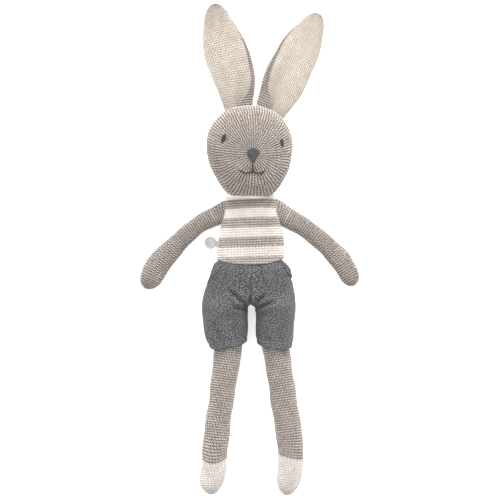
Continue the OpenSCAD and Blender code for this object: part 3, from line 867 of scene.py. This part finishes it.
def ear_lining(side, ear):
    """The pale front of the ear: a softly filled layer, hollow along its middle and deeper at the root."""
    t, s, share = rounded_rows(-12, ear["length"], 0, EAR_TIP, COURSE / COURSE_ROWS)
    half = smooth(ear["width"], s)[:, None] / 2 * share[:, None]
    wales = 14
    k = np.linspace(-1, 1, wales * WALE_COLUMNS + 1)[None]
    inner_edge = half - 0.55 * smooth(ear["fold"], s)[:, None]
    across = np.where(k > 0, k * inner_edge, k * half)
    rim = np.clip(1 - np.abs(k) ** 3.2, 0, 1) ** 0.5
    root = step(44, 4, s)[:, None]
    valley = (0.8 + 3.0 * root) * np.exp(-(((across - 0.22 * half) / (0.28 * half + 0.5)) ** 2))
    lifted = fold_height(s)[:, None] * step(0.25, 1.0, k)
    thick = (EAR_HIGH - EAR_LOW) * (0.45 + 0.55 * share[:, None])
    z = EAR_LOW + 1.4 + (thick - 1.4) * rim + lifted - valley
    upper = ear_points(ear, s, across, np.maximum(z, EAR_LOW + 1.5))
    u = np.broadcast_to((k + 1) / 2 * wales * ear["inner"], across.shape)
    v = np.broadcast_to((t / COURSE)[:, None], across.shape)
    relief_and_shade = stitch_relief(u, v)
    upper[..., 2] += lumps(upper, 0.3) + KNIT_RELIEF * (relief_and_shade - 0.5)
    lower = ear_points(ear, s, across, EAR_LOW + 1.35 + 0 * z)
    piece = close_layer(f"{side}_ear_lining", upper, lower, u, v, relief_and_shade, 1.0)
    dress(piece, EAR_KNIT)
    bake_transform(piece)
    filled(piece, 0.4, f"{side}_ear_front")


def ear_outside(side, ear):
    """The taupe back of the ear, folded over the front along the inner edge of the root."""
    t, s, share = rounded_rows(-12, ear["length"] - 0.9, 0, EAR_TIP, COURSE / COURSE_ROWS)
    half = smooth(ear["width"], s)[:, None] / 2 * share[:, None]
    fold = np.minimum(smooth(ear["fold"], s)[:, None], 1.2 * half)
    wales = 20
    k = np.linspace(0, 1, wales * WALE_COLUMNS + 1)[None]
    back = np.clip(k / BACK_END, 0, 1)
    bend = np.clip((k - BACK_END) / (BEND_END - BACK_END), 0, 1) * math.pi
    over = np.clip((k - BEND_END) / (1 - BEND_END), 0, 1)
    height = (EAR_HIGH - EAR_LOW - 0.4 + fold_height(s)[:, None]) * (0.5 + 0.5 * share[:, None])
    height = height * step(-0.2, 1.4, fold) + 1.2 * (1 - step(-0.2, 1.4, fold))
    edge = half - 0.5
    across = -(half - 0.9) + (edge + half - 0.9) * back + 0.9 * np.sin(bend) - fold * over
    z = EAR_LOW + height / 2 * (1 - np.cos(bend)) + 0.5 * np.sin(math.pi * over) - 1.3 * step(0.75, 1.0, over)
    outer = ear_points(ear, s, across, z + 0.9 * (1 - step(0, 0.06, back)))
    out = np.cross(np.gradient(outer, axis=1), np.gradient(outer, axis=0))
    out /= np.maximum(np.linalg.norm(out, axis=2, keepdims=True), 1e-9)
    if out[:, k.shape[1] // 3, 2].mean() > 0:
        out = -out
    u = np.broadcast_to(k * wales, across.shape)
    v = np.broadcast_to((t / COURSE)[:, None], across.shape)
    relief_and_shade = stitch_relief(u, v)
    shell = outer + out * (KNIT_RELIEF * (relief_and_shade - 0.5))[..., None]
    lining = outer - out * 0.9
    shell[..., 2] = np.maximum(shell[..., 2], 0.12)
    lining[..., 2] = np.maximum(lining[..., 2], 0.4)
    piece = close_layer(f"{side}_ear_outside", shell, lining, u, v, relief_and_shade, 0.0)
    dress(piece, KNIT)
    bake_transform(piece)
    filled(piece, 0.3, f"{side}_ear_back", f"{side}_ear_tuck")


# ---------------------------------------------------------------------
# Torso
# ---------------------------------------------------------------------
STRIPES_FROM = -4.3  # the lowest pale stripe starts here
COLLAR_FROM = 42.0
TORSO_TOP = 45.3
BODY_POWER = 2.35  # how square the body is across
TORSO_HALF_WIDTH = [(-12, 25.4), (-6, 26.6), (1.5, 27), (8, 26.4), (20, 24.2), (30, 22.8), (37, 22),
                    (41.5, 21), (44, 20.4)]
TORSO_HALF_DEPTH = [(-12, 17), (-6, 17.4), (0, 17.6), (18, 17.5), (30, 16.8), (37, 15.6), (41.5, 14.2),
                    (44, 13.6)]
# (height above the hem's edge, distance out of the body) pairs, from inside the tube round its rolled edge
HEM_CURL = [
    (9.0, -8.0), (8.6, -1.9), (4.0, -1.7), (1.2, -1.5), (0.3, -0.9), (0.0, -0.1), (0.15, 0.45), (0.7, 0.8),
    (1.5, 0.7), (2.4, 0.35), (3.2, 0.1),
]


def body_ring(y, angle, grow=0.0):
    """A ring round the body at heights y, one for each angle, standing out by grow."""
    w = smooth(TORSO_HALF_WIDTH, y) + grow
    h = smooth(TORSO_HALF_DEPTH, y) + grow
    x = w * squared(np.cos(angle), BODY_POWER)
    z = h * squared(np.sin(angle), BODY_POWER)
    lean = 0.035 * x - 0.9 * (x / 24) ** 2 * step(18, 36, y)
    middle_z = SPINE_Z + 2.2 * step(36, 46, y)
    return np.stack([SPINE_X * step(46, 40, y) + x, y + lean * step(-13, -4, y), middle_z + z], -1)


def hem_edge(angle):
    """The jumper's lower edge, which dips at the front and the back."""
    return -11.4 + 4.4 * (1 - np.abs(np.sin(angle)) ** 1.6)


def torso_cover():
    """The striped jumper: a knitted tube with a curled edge over the shorts. Its top leans with the neck."""
    wales = 60
    columns = wales * WALE_COLUMNS
    angle = even_angles(26, 17.4, BODY_POWER, columns)
    edge = hem_edge(angle)
    heights = [edge + up for up, _grow in HEM_CURL]
    rings = [body_ring(edge + up, angle, grow) for up, grow in HEM_CURL]
    start = edge + HEM_CURL[-1][0]
    rows = int((TORSO_TOP - start.min()) / COURSE * COURSE_ROWS)
    for k in np.linspace(0, 1, rows)[1:]:
        y = start + (TORSO_TOP - start) * k
        close = np.sqrt(np.clip(1 - ((y - TORSO_TOP + 1.4) / 1.45).clip(0) ** 2, 0.003, 1))
        rings.append(body_ring(y, angle, -3.0 * (1 - close)))
        heights.append(y)
    points = lie_down(np.array(rings), 1.0)
    height = np.array(heights)
    spine = np.ones(len(points))
    middle = np.stack([SPINE_X * spine, height.mean(1), SPINE_Z * spine], -1)[:, None]
    u = np.broadcast_to(-np.linspace(0, wales, columns + 1), (len(points), columns + 1))
    v = (np.hstack([height, height[:, :1]]) - STRIPES_FROM) / COURSE
    relief_and_shade = stitch_relief(u[:, :columns], v[:, :columns])
    skin = len(HEM_CURL) - 4
    bumpy = np.clip((np.arange(len(points)) - skin) / 2, 0, 1)[:, None]
    rise = (lumps(points) + KNIT_RELIEF * (relief_and_shade - 0.5)) * bumpy
    points = points + normals(points, True, middle) * rise[..., None]
    points[..., 2] = np.maximum(points[..., 2], 0.3)
    # The pale yarn's share, which also sets where the striped yarn's painted glow falls, most of it at the
    # neck.
    yarn = np.where(height > COLLAR_FROM, 1.0, np.where(height < STRIPES_FROM, 0.1, 0.0))
    piece = face_out(grid_object("torso_cover", points, np.stack([u, v], -1), relief_and_shade, yarn))
    dress(piece, STRIPED_KNIT)
    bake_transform(piece)
    filled(piece, 0.8, "torso_knit", "torso_stuffing", "rolled_hem")


def collar():
    """The pale band between the jumper and the chin."""
    wales = 52
    columns = wales * WALE_COLUMNS
    y = np.linspace(42.6, 51, 18)
    angle = even_angles(20, 14, BODY_POWER, columns)[None]
    w = smooth([(42.6, 15.5), (44.4, 19.2), (45.6, 20.0), (46.6, 19.6), (48.4, 17.6), (51, 14)], y)[:, None]
    h = smooth([(42.6, 13.2), (45.0, 14.0), (46.2, 13.8), (48.0, 13.2), (51, 12)], y)[:, None]
    middle_z = smooth([(42.6, 20.4), (45, 21.4), (51, 26.0)], y)[:, None]
    x = w * squared(np.cos(angle), BODY_POWER)
    z = h * squared(np.sin(angle), BODY_POWER)
    points = np.stack([x, y[:, None] + 0.0 * x, middle_z + z], -1)
    middle = np.stack([np.zeros_like(y), y, middle_z[:, 0]], -1)[:, None]
    u, v = tube_stitches(wales, (y - STRIPES_FROM) / COURSE, mirror=True)
    piece = knit_object("neck_collar", points, u, v, middle, 1.0)
    # The neck yarn glows: painted light under the chin.
    dress(piece, NECK_KNIT)
    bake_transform(piece)
    filled(piece, 0.7, "neck_band", "neck_knot")


# ---------------------------------------------------------------------
# Arms
# ---------------------------------------------------------------------
ARM_RISE = [(-4, 16), (0, 16), (12, 13.2), (32, 9.8), (48, 8.6), (81, 8.8)]
ARM_ROOT = 8.4  # radius of the round root
HAND = 9.5  # length of the round end
ARMS = {  # tables have (place along the arm from its shoulder, value) pairs
    "left": dict(path=(LEFT_SHOULDER[0], LEFT_SHOULDER[1], 207, [(81, 43)]), end=81.5, mirror=False,
                 rise=ARM_RISE,
                 width=[(-4, 16.0), (2, 15.1), (9, 14.3), (16, 14.1), (28, 15.0), (42, 16.6), (55, 18.8),
                        (66, 18.8), (76, 17.4)],
                 sway=[(-6, -2.2), (0, -2.2), (9, -1.8), (42, -1.9), (62, -0.2), (80, 0.2)]),
    "right": dict(path=(RIGHT_SHOULDER[0], RIGHT_SHOULDER[1], -27, [(80, -41)]), end=79.5, mirror=True,
                  rise=ARM_RISE,
                  width=[(-4, 17), (2, 16.4), (14, 15.4), (28, 15.2), (42, 16.2), (57, 17.4), (66, 16.4),
                         (74, 14.6)],
                  sway=[(-6, 2.4), (0, 2.4), (10, 2.5), (30, 1.8), (45, 1), (58, 0), (80, 0.3)]),
}
ARMHOLE_HALF = 9.9  # half the height of the sewn root
ARMHOLE_DEPTH = 10.2


def arm_cover(side):
    """The knitted cover of one arm, round at both ends."""
    arm = ARMS[side]
    piece = knit_limb(f"{side}_arm_cover", arm, 0.0, arm["end"], ARM_ROOT, HAND)
    dress(piece, ARM_KNIT)
    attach(piece, f"{side}_arm")
    filled(piece, 0.8, f"{side}_arm_knit", f"{side}_arm_stuffing")


def armhole(side):
    """The sewn root of the arm: from the jumper's side seam it narrows to the arm's round end."""
    arm = ARMS[side]
    sign = -1 if side == "left" else 1
    s_end = -0.3
    end, heading = limb_middle(arm, s_end)
    root = np.array([SPINE_X + sign * 19.8, 31.7 if side == "left" else 32.6, 17.0])
    end_side = np.array([np.sin(heading), -np.cos(heading), 0])
    root_side = np.array([0, np.sign(end_side[1]), 0])
    k = np.linspace(0, 1, 26)
    out = step(-0.3, 0.9, k)
    middle = root + (end - root) * k[:, None]
    aim = root_side + (end_side - root_side) * out[:, None]
    aim /= np.linalg.norm(aim, axis=1, keepdims=True)
    end_half = smooth(arm["width"], s_end) / 2
    half = ARMHOLE_HALF + (end_half + 0.12 - ARMHOLE_HALF) * out
    deep = ARMHOLE_DEPTH + (end_half + 0.12 - ARMHOLE_DEPTH) * out
    wales = int(round(2 * math.pi * end_half / WALE))
    angle = np.linspace(0, 2 * math.pi, wales * WALE_COLUMNS, endpoint=False)
    across = (half[:, None] * np.cos(angle))[..., None] * aim[:, None]
    points = lie_down(middle[:, None] + across + (deep[:, None] * np.sin(angle))[..., None] * UP)
    run = ARM_ROOT * math.pi / 2 + s_end + (k - 1) * np.linalg.norm(end - root)
    u, v = tube_stitches(wales, run / COURSE, arm["mirror"])
    piece = knit_object(f"{side}_armhole", points, u, v, middle[:, None], 0.0)
    dress(piece, ARM_KNIT)
    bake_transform(piece)
    filled(piece, 0.8, f"{side}_shoulder_knot")


# ---------------------------------------------------------------------
# Legs
# ---------------------------------------------------------------------
LEG_RISE = [(0, 16.5), (25, 15), (45, 12.6), (70, 10.6), (100, 9.8), (158, 9.8)]
LEG_FROM = 22.0  # where the cover starts, inside the shorts
LEG_ROOT = 8.0  # radius of its round root
ANKLE = 127.5  # where the pale foot starts
TOE = 12.5  # length of the round end
FOOT_OVERLAP = 0.4  # how far the foot's cover reaches up into the leg's
# Tables have (place down the leg, value) pairs. join is how far the ankle's rows are raised, slant and curve.
LEGS = {
    "left": dict(path=(-15.2, LEFT_HIP[1], 270, [(45, -8), (60, 1), (53, 5)]), end=157.5, mirror=True,
                 join=(-4.9, 1.8, 4.2), rise=LEG_RISE,
                 width=[(0, 20), (30, 21.6), (46, 22), (64, 20.8), (88, 20), (110, 20.8), (128, 20.6),
                        (140, 21), (150, 20)],
                 sway=[(0, 0), (80, -0.3), (110, 0), (128, -0.3), (150, 0.4)]),
    "right": dict(path=(17.5, RIGHT_HIP[1], 274, [(45, 6), (60, -2), (53, -18)]), end=158.5, mirror=False,
                  join=(-1.0, -2.4, 0.9), rise=LEG_RISE,
                  width=[(0, 21), (30, 22.4), (46, 21), (64, 21), (88, 21.4), (110, 21.4), (128, 20.4),
                         (140, 20), (150, 19.4)],
                  sway=[(0, 0), (50, 0.3), (80, 0.9), (110, 0.3), (128, 0.2), (150, 0.9)]),
}


def leg_covers(side):
    """The long taupe leg and its pale foot, one tube of knitting in two colours."""
    leg = LEGS[side]

    def shift(s, across):
        """Where the foot is joined the rows slant and dip, and the toe is cut off on its +X side."""
        level, slant, dip = leg["join"]
        join = (level + slant * across + dip * across**2) * np.exp(-(((s - ANKLE) / 11) ** 2))
        return join + 2.6 * step(-0.1, 1.0, across) * step(leg["end"] - 20, leg["end"] - 4, s)

    cover = knit_limb(f"{side}_leg_cover", leg, LEG_FROM, ANKLE, LEG_ROOT, 0, shift=shift)
    dress(cover, KNIT)
    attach(cover, f"{side}_leg")
    filled(cover, 0.85, f"{side}_leg_knit", f"{side}_leg_stuffing")
    foot_from = ANKLE - FOOT_OVERLAP
    foot = knit_limb(f"{side}_foot_cover", leg, foot_from, leg["end"], 0, TOE, yarn=1.0, shift=shift)
    dress(foot, KNIT)
    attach(foot, f"{side}_leg")
    filled(foot, 0.85, f"{side}_foot_knit")


# ---------------------------------------------------------------------
# Shorts: two halves sewn together down the middle
# ---------------------------------------------------------------------
SEAM_X = 0.6
SHORTS = {  # outer, inner: (y, x) pairs down the outline. pocket: (x, y) points. tilt: the hem's slope
    "left": dict(sign=-1, tilt=0.20, hem=-79.4,
                 pocket=[(-22, -12.8), (-26.8, -16.2), (-30.8, -21), (-33.6, -27)],
                 outer=[(-5, -23.4), (-8, -25.6), (-10, -28.2), (-14, -30.2), (-20, -32.4), (-34.5, -37),
                        (-41.4, -38.3), (-58, -38), (-66.6, -36.3), (-75.7, -32.8), (-84, -28.4)],
                 inner=[(-40, 1.6), (-43.6, 0.4), (-45.6, -1.0), (-49, -1.2), (-64, -0.8), (-74, -1.8),
                        (-84, -3.4)]),
    "right": dict(sign=1, tilt=0.12, hem=-80.0,
                  pocket=[(27, -12.6), (31, -15.6), (33.4, -19.5), (34.8, -24)],
                  outer=[(-5, 24.6), (-8, 26.8), (-10, 29.4), (-12.8, 32), (-23.6, 34.8), (-35, 37.2),
                         (-43.7, 37.6), (-63.7, 36.4), (-75, 35), (-84, 32)],
                  inner=[(-40, -0.4), (-43.6, 0.8), (-45.6, 3.8), (-49, 4.7), (-64, 4.9), (-74, 5.8),
                         (-84, 8.4)]),
}
SHORTS_FRONT = [(-5, 33), (-10, 34.2), (-14, 36.6), (-24, 38.6), (-40, 38), (-60, 32), (-76, 28), (-84, 27)]
SHORTS_BACK = [(-5, 3.6), (-11, 2.8), (-16, 1.0), (-24, 0.5), (-84, 0.4)]
SHORTS_PITCH = 0.7
WAIST_Y = -5.0
SHORTS_COLUMNS = 176
SEAM_SHARE = 0.25  # share of each half's columns that lie along the middle seam
SEAT_POWER = 2.5  # how square the seat is across
LEG_POWER = 2.25  # and each leg of the shorts
BAND = 5.0  # depth of the turned-up hem


def by_y(table, y):
    """A smooth curve through a table that runs down the doll, from high y to low."""
    return smooth([(-a, b) for a, b in table], -np.asarray(y, float))


def shorts_section(side, y):
    """Middle, half width, middle height and half height of one half of the shorts at heights y."""
    outer, inner = by_y(SHORTS[side]["outer"], y), by_y(SHORTS[side]["inner"], y)
    front, back = by_y(SHORTS_FRONT, y), by_y(SHORTS_BACK, y)
    return (outer + inner) / 2, np.abs(outer - inner) / 2, (front + back) / 2, (front - back) / 2


def leg_share(y):
    """0 in the seat, where the halves are sewn together, and 1 in the legs."""
    return step(-34, -47, y)


def hem_slant(side, x, y):
    """How far the rows near the hem are raised: the hem slants down outwards, and its corners are round."""
    middle_x, half_w, _middle_z, _half_h = shorts_section(side, y)
    across = (x - middle_x) / half_w
    slant = SHORTS[side]["tilt"] * -SHORTS[side]["sign"] * (x - middle_x) * step(-50, -78, y)
    return slant + 1.8 * step(0.7, 1.04, np.abs(across)) * step(-66, -79, y)


def shorts_form(side, y):
    """Points round one half of the shorts: half of the whole seat above, which turns into a leg below."""
    sign = SHORTS[side]["sign"]
    y = y[:, None]
    t = np.linspace(0, 1, SHORTS_COLUMNS, endpoint=False)[None]
    round_part = np.clip(t / (1 - SEAM_SHARE), 0, 1)
    seam_part = np.clip((t - 1 + SEAM_SHARE) / SEAM_SHARE, 0, 1)
    on_seam = t >= 1 - SEAM_SHARE
    middle_x, half_w, middle_z, half_h = shorts_section(side, y)
    outer = by_y(SHORTS[side]["outer"], y)
    angle = math.pi / 2 * (1 - 2 * round_part)
    seat_x = SEAM_X + (outer - SEAM_X) * squared(np.cos(angle).clip(0), SEAT_POWER)
    seat_z = middle_z + half_h * squared(np.sin(angle), SEAT_POWER)
    seat_x = np.where(on_seam, SEAM_X, seat_x)
    seat_z = np.where(on_seam, middle_z - half_h * np.cos(math.pi * seam_part), seat_z)
    leg_angle = np.radians(np.where(on_seam, -130 - 100 * seam_part, 130 - 260 * round_part))
    leg_x = middle_x + sign * half_w * squared(np.cos(leg_angle), LEG_POWER)
    leg_z = middle_z + half_h * squared(np.sin(leg_angle), LEG_POWER)
    share = leg_share(y)
    x = seat_x + (leg_x - seat_x) * share
    z = seat_z + (leg_z - seat_z) * share
    return np.stack([x, y + hem_slant(side, x, y), z], -1), np.stack([middle_x, y, middle_z], -1)


CREASES = (  # from, to, width, depth
    ((-2.0, -45), (-17.4, -31.5), 1.6, 1.5),
    ((-3.0, -48), (-13, -45.5), 1.8, 1.0),
    ((3.0, -44.5), (12.4, -36.5), 1.5, 1.8),
    ((4.0, -46.5), (20, -42), 1.6, 1.7),
    ((5.0, -50), (14, -52), 1.8, 0.7),
    ((-22, -12.8), (-33.6, -27), 0.7, 1.3),
    ((27, -12.6), (34.8, -24), 0.7, 1.3),
    ((0.4, -22), (0.9, -44), 0.6, 0.9),
    ((-30, -58), (-22, -74), 3.0, 0.6),
    ((30, -26), (24, -38), 2.2, 0.5),
    ((28, -60), (24, -74), 3.0, 0.5),
    ((-12, -60), (-9, -76), 2.6, 0.5),
    ((13, -62), (14, -76), 2.6, 0.5),
    ((-20, -14), (-19, -28), 2.4, 0.45),
    ((-8, -14), (-6, -27), 2.2, 0.4),
    ((9, -14), (11, -28), 2.4, 0.45),
    ((22, -15), (21, -28), 2.4, 0.4),
)


def crease_depth(points):
    """Soft folds in the front of the shorts, running out of the crotch and down from the waist."""
    x, y, z = np.moveaxis(points, -1, 0)
    front = step(14, 22, z)
    total = np.zeros_like(x)
    for (ax, ay), (bx, by), width, depth in CREASES:
        dx, dy = bx - ax, by - ay
        long = math.hypot(dx, dy)
        t = ((x - ax) * dx + (y - ay) * dy) / long**2
        off = ((x - ax) * dy - (y - ay) * dx) / long
        ends = step(-0.15, 0.12, t) * step(1.2, 0.75, t)
        groove = np.exp(-((off / width) ** 2))
        ridges = sum(np.exp(-(((off + k * width) / width) ** 2)) for k in (-2, 2))
        total += depth * ends * (0.45 * ridges - groove)
    return total * front


def soft_folds(points):
    """Creases and slow unevenness of the filled cloth."""
    return crease_depth(points) + 0.5 * lumps(points * np.array([1.0, 0.8, 1.0]), 0.5)


def shorts_grid(side, y, swell):
    """The cloth's outside at rows y, standing out by swell, and its inside."""
    points, middle = shorts_form(side, y)
    points = lie_down(points, 0.5, 0.6)
    out = normals(points, True, middle)
    outside = points + out * (soft_folds(points) + np.reshape(swell, (-1, 1)))[..., None]
    sign = SHORTS[side]["sign"]
    seat = y > -43
    flat = sign * (outside[..., 0] - SEAM_X) < 0.04
    outside[..., 0] = np.where(flat & seat[:, None], SEAM_X + 0.04 * sign, outside[..., 0])
    outside[..., 2] = np.maximum(outside[..., 2], 0.22)
    inside = points - out
    inside[..., 2] = np.maximum(inside[..., 2], 0.35)
    return outside, inside


def cloth_piece(name, side, points, relief_and_shade):
    """A tube of chambray from rows of points."""
    sizes = np.linalg.norm(np.diff(points, axis=0), axis=2).mean(1)
    along_rows = np.concatenate([[0], np.cumsum(sizes)])
    around = np.linspace(0, 110, SHORTS_COLUMNS + 1) + 300 * SHORTS[side]["sign"]
    u = np.broadcast_to(around, (len(points), SHORTS_COLUMNS + 1))
    v = np.broadcast_to(along_rows[:, None], u.shape)
    piece = face_out(grid_object(name, points, np.stack([u, v], -1), relief_and_shade, caps=(False, False)))
    dress(piece, CHAMBRAY)
    bend_hip(piece)
    return piece


def shorts_half(side):
    """One half of the shorts, from the waist inside the jumper to the top of the hem, and turned in there."""
    hem = SHORTS[side]["hem"] + BAND
    y = np.linspace(WAIST_Y, hem, int((WAIST_Y - hem) / SHORTS_PITCH))
    swell = -0.5 * step(hem + 1.0, hem, y)
    outside, inside = shorts_grid(side, y, swell)
    turned = inside[::-1][: int(8 / SHORTS_PITCH)]
    points = np.concatenate([outside, turned], axis=0)
    # Painted shade: darker at the fold above the hem, towards the waist and along the creases; the turned-in
    # inside is darker still.
    light = 0.5 - 0.3 * step(hem + 1.2, hem, y) - 0.17 * step(-44, -22, y)
    relief_and_shade = light[:, None] + 0.25 * np.minimum(crease_depth(outside), 0)
    relief_and_shade = np.vstack([relief_and_shade, np.full(turned.shape[:2], 0.2)])
    piece = cloth_piece(f"{side}_shorts_half", side, points, relief_and_shade)
    seat = ["shorts_seat"] if side == "left" else []
    filled(piece, 0.5, f"{side}_shorts_leg", f"{side}_hip_knot", *seat)


def bend_hip(piece):
    """Bakes a piece of the shorts' place into its mesh."""
    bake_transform(piece)


def shorts_band(side):
    """The turned-up hem below the row of stitching."""
    hem = SHORTS[side]["hem"]
    y = np.linspace(hem + BAND, hem, 14)
    k = np.linspace(0, 1, len(y))
    swell = -0.45 + 0.75 * step(0, 0.3, k) - 1.1 * step(0.8, 1.0, k)
    outside, inside = shorts_grid(side, y, swell)
    points = np.concatenate([outside, inside[::-1]], axis=0)
    # Painted shade: the band is darker at its folded top and bottom, and on its inside.
    outer_painted_light = 0.25 + 0.3 * step(0, 0.25, k) - 0.25 * step(0.8, 1, k)
    relief_and_shade = np.concatenate([outer_painted_light, np.full(len(y), 0.1)])[:, None]
    piece = cloth_piece(f"{side}_shorts_band", side, points, relief_and_shade)
    filled(piece, 0.3, f"{side}_shorts_hem")


def shorts_surface(side, x, y, lift):
    """Points on the front of the shorts above places in plan."""
    sign = SHORTS[side]["sign"]
    middle_x, half_w, middle_z, half_h = shorts_section(side, y)
    outer = by_y(SHORTS[side]["outer"], y)
    off_seam = (np.abs(x - SEAM_X) / np.abs(outer - SEAM_X)).clip(0, 1)
    off_middle = (np.abs(x - middle_x) / half_w).clip(0, 1)
    seat = middle_z + half_h * (1 - off_seam**SEAT_POWER) ** (1 / SEAT_POWER)
    leg = middle_z + half_h * (1 - off_middle**LEG_POWER) ** (1 / LEG_POWER)
    z = seat + (leg - seat) * leg_share(y)
    points = np.stack([x, y, z], -1)
    return points + UP * (soft_folds(points) + lift)[..., None]


def running_stitch(side, line, pitch=2.0, share=0.7, radius=0.32, lift=0.15):
    """A row of topstitching along a line in plan, as separate short stitches of thread."""
    line = np.asarray(line, float)
    place = np.concatenate([[0], np.cumsum(np.linalg.norm(np.diff(line, axis=0), axis=1))])
    grids = []
    for k in range(int(place[-1] / pitch)):
        d = np.linspace(k * pitch, (k + share) * pitch, 6)
        x, y = np.interp(d, place, line[:, 0]), np.interp(d, place, line[:, 1])
        grids.append(strand_points(shorts_surface(side, x, y, lift), radius, 6))
    return grids


def hem_line(side, above):
    """A line across the front of a leg of the shorts, above its hem."""
    y = SHORTS[side]["hem"] + above
    middle_x, half_w, _middle_z, _half_h = shorts_section(side, y)
    x = np.linspace(middle_x - half_w * 0.9, middle_x + half_w * 0.9, 40)
    return np.stack([x, y + hem_slant(side, x, y)], -1)


def hem_topstitching(side):
    """The row of stitching above one hem."""
    piece = joined(f"{side}_hem_topstitch", running_stitch(side, hem_line(side, BAND + 0.3), lift=0.2))
    dress(piece, PALE_THREAD)
    bend_hip(piece)
    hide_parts(f"{side}_hem_stitching")


def smooth_line(points):
    """A smooth line through a few points that run down the doll."""
    y = np.linspace(points[0][1], points[-1][1], 20)
    return np.stack([by_y([(py, px) for px, py in points], y), y], -1)


def pocket_topstitching(side):
    """Two rows of stitching along the slanting mouth of the side pocket."""
    sign = SHORTS[side]["sign"]
    line = smooth_line(SHORTS[side]["pocket"])
    grids = []
    for inwards in (0.9, 2.8):
        grids += running_stitch(side, line - [sign * inwards, 0.0], lift=0.1, radius=0.22)
    piece = joined(f"{side}_pocket_topstitch", grids)
    dress(piece, PALE_THREAD)
    bend_hip(piece)
    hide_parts(f"{side}_pocket_stitching")


def centre_stitching():
    """The thread of the middle seam, sunk between the two halves."""
    line = np.stack([np.full(24, SEAM_X - 0.1), np.linspace(-13, -30, 24)], -1)
    piece = joined("centre_seam_thread", running_stitch("left", line, radius=0.28, lift=-0.2))
    dress(piece, PALE_THREAD)
    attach(piece, "torso")
    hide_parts("centre_seam")


# ---------------------------------------------------------------------
# Tag
# ---------------------------------------------------------------------
TAG_RINGS = [  # (share of the radius, height over the middle) pairs, from the top's middle round the edge
    (0.62, 0.25), (0.66, 0.4), (0.72, 0.25), (0.86, 0.25), (0.9, 0.5), (0.97, 0.5), (1, 0.3), (1, -0.3),
    (0.97, -0.4),
]


def tag_disc():
    """The clear disc with a raised rim."""
    low, high = node_box("tag_disc")
    centre = (low + high) / 2
    radius = (high[0] - low[0]) / 2
    profile = [(0.02, 0.25), *((radius * share, z) for share, z in TAG_RINGS), (0.02, -0.4)]
    angle = np.linspace(0, 2 * math.pi, 64, endpoint=False)
    circle = np.stack([np.cos(angle), np.sin(angle), 0 * angle], -1)
    rows = [centre + r * circle + z * UP for r, z in profile]
    disc = face_out(grid_object("tag_round", np.array(rows), relief_and_shade=0.5))
    dress(disc, CLEAR)
    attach(disc, "tag")
    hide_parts("tag_disc")


def tag_strap():
    """The little strap that the disc hangs from."""
    low, high = node_box("tag_strap")
    t = np.linspace(0, 1, 14)
    x = low[0] - 1.2 + (high[0] - low[0] + 1.6) * t
    y = (low[1] + high[1]) / 2 - 1.5 * (1 - t) ** 2
    z = low[2] + 0.6 + (high[2] - low[2]) * t**1.6
    line = np.stack([x, y, z], -1)[:, None]
    angle = np.linspace(0, 2 * math.pi, 12, endpoint=False)
    half_width = np.outer(2.6 - 1.2 * t, np.cos(angle))[..., None]
    half_thickness = 0.35 * np.sin(angle)[:, None]
    points = line + half_width * [0, 1.0, 0] + half_thickness * [0.4, 0, 0.9]
    strap = face_out(grid_object("tag_strap_loop", points, relief_and_shade=0.5))
    dress(strap, CLEAR)
    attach(strap, "torso")
    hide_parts("tag_strap")


# ---------------------------------------------------------------------
# Camera, floor and light
# ---------------------------------------------------------------------
def camera():
    """A long lens straight above, so that the doll is seen almost in plan."""
    low, high = cad_box
    lens, sensor = 400.0, 36.0
    margin = 1.0215  # the view's side over the doll's length
    level = 15 * MM  # the height that the view's side is measured at
    side = (high.y - low.y) * margin
    data = bpy.data.cameras.new("camera")
    data.lens = lens
    data.sensor_width = sensor
    data.clip_end = 100
    cam = placed("camera", data)
    cam.location = ((high.x + low.x) / 2, (high.y + low.y) / 2, level + side * lens / sensor)
    bpy.context.scene.camera = cam


def area_light(name, place, aim, size, power):
    """A round soft light."""
    data = bpy.data.lights.new(name, "AREA")
    data.shape = "DISK"
    data.size = size
    data.energy = power
    lamp = placed(name, data)
    lamp.location = place
    lamp.rotation_mode = "QUATERNION"
    lamp.rotation_quaternion = (Vector(place) - Vector(aim)).to_track_quat("Z", "Y")


def studio():
    """The floor, a bright sky and two soft lights."""
    half = 3.0
    corners = [(-half, -half, 0), (half, -half, 0), (half, half, 0), (-half, half, 0)]
    mesh = bpy.data.meshes.new("floor")
    mesh.from_pydata(corners, [], [(0, 1, 2, 3)])
    floor = placed("floor", mesh)
    floor.location.z = -0.2 * MM
    floor.data.materials.append(floor_material())
    world = bpy.data.worlds.new("studio")
    world.use_nodes = True
    set_inputs(world.node_tree.nodes["Background"], {"Color": (1, 1, 1, 1), "Strength": SKY})
    bpy.context.scene.world = world
    area_light("key", (0.3, 1.3, 1.0), (0, 0, 0), 0.7, 34)
    area_light("fill", (-0.7, 0.2, 1.5), (0, 0, 0), 1.0, 6)
    bpy.context.scene.view_settings.view_transform = "Standard"


camera()
studio()
head_cover()
face()
for side, ear in (("left", LEFT_EAR), ("right", RIGHT_EAR)):
    ear_outside(side, ear)
    ear_lining(side, ear)
torso_cover()
collar()
for side in ("left", "right"):
    arm_cover(side)
    armhole(side)
    leg_covers(side)
    shorts_half(side)
    shorts_band(side)
    hem_topstitching(side)
    pocket_topstitching(side)
centre_stitching()
tag_disc()
tag_strap()
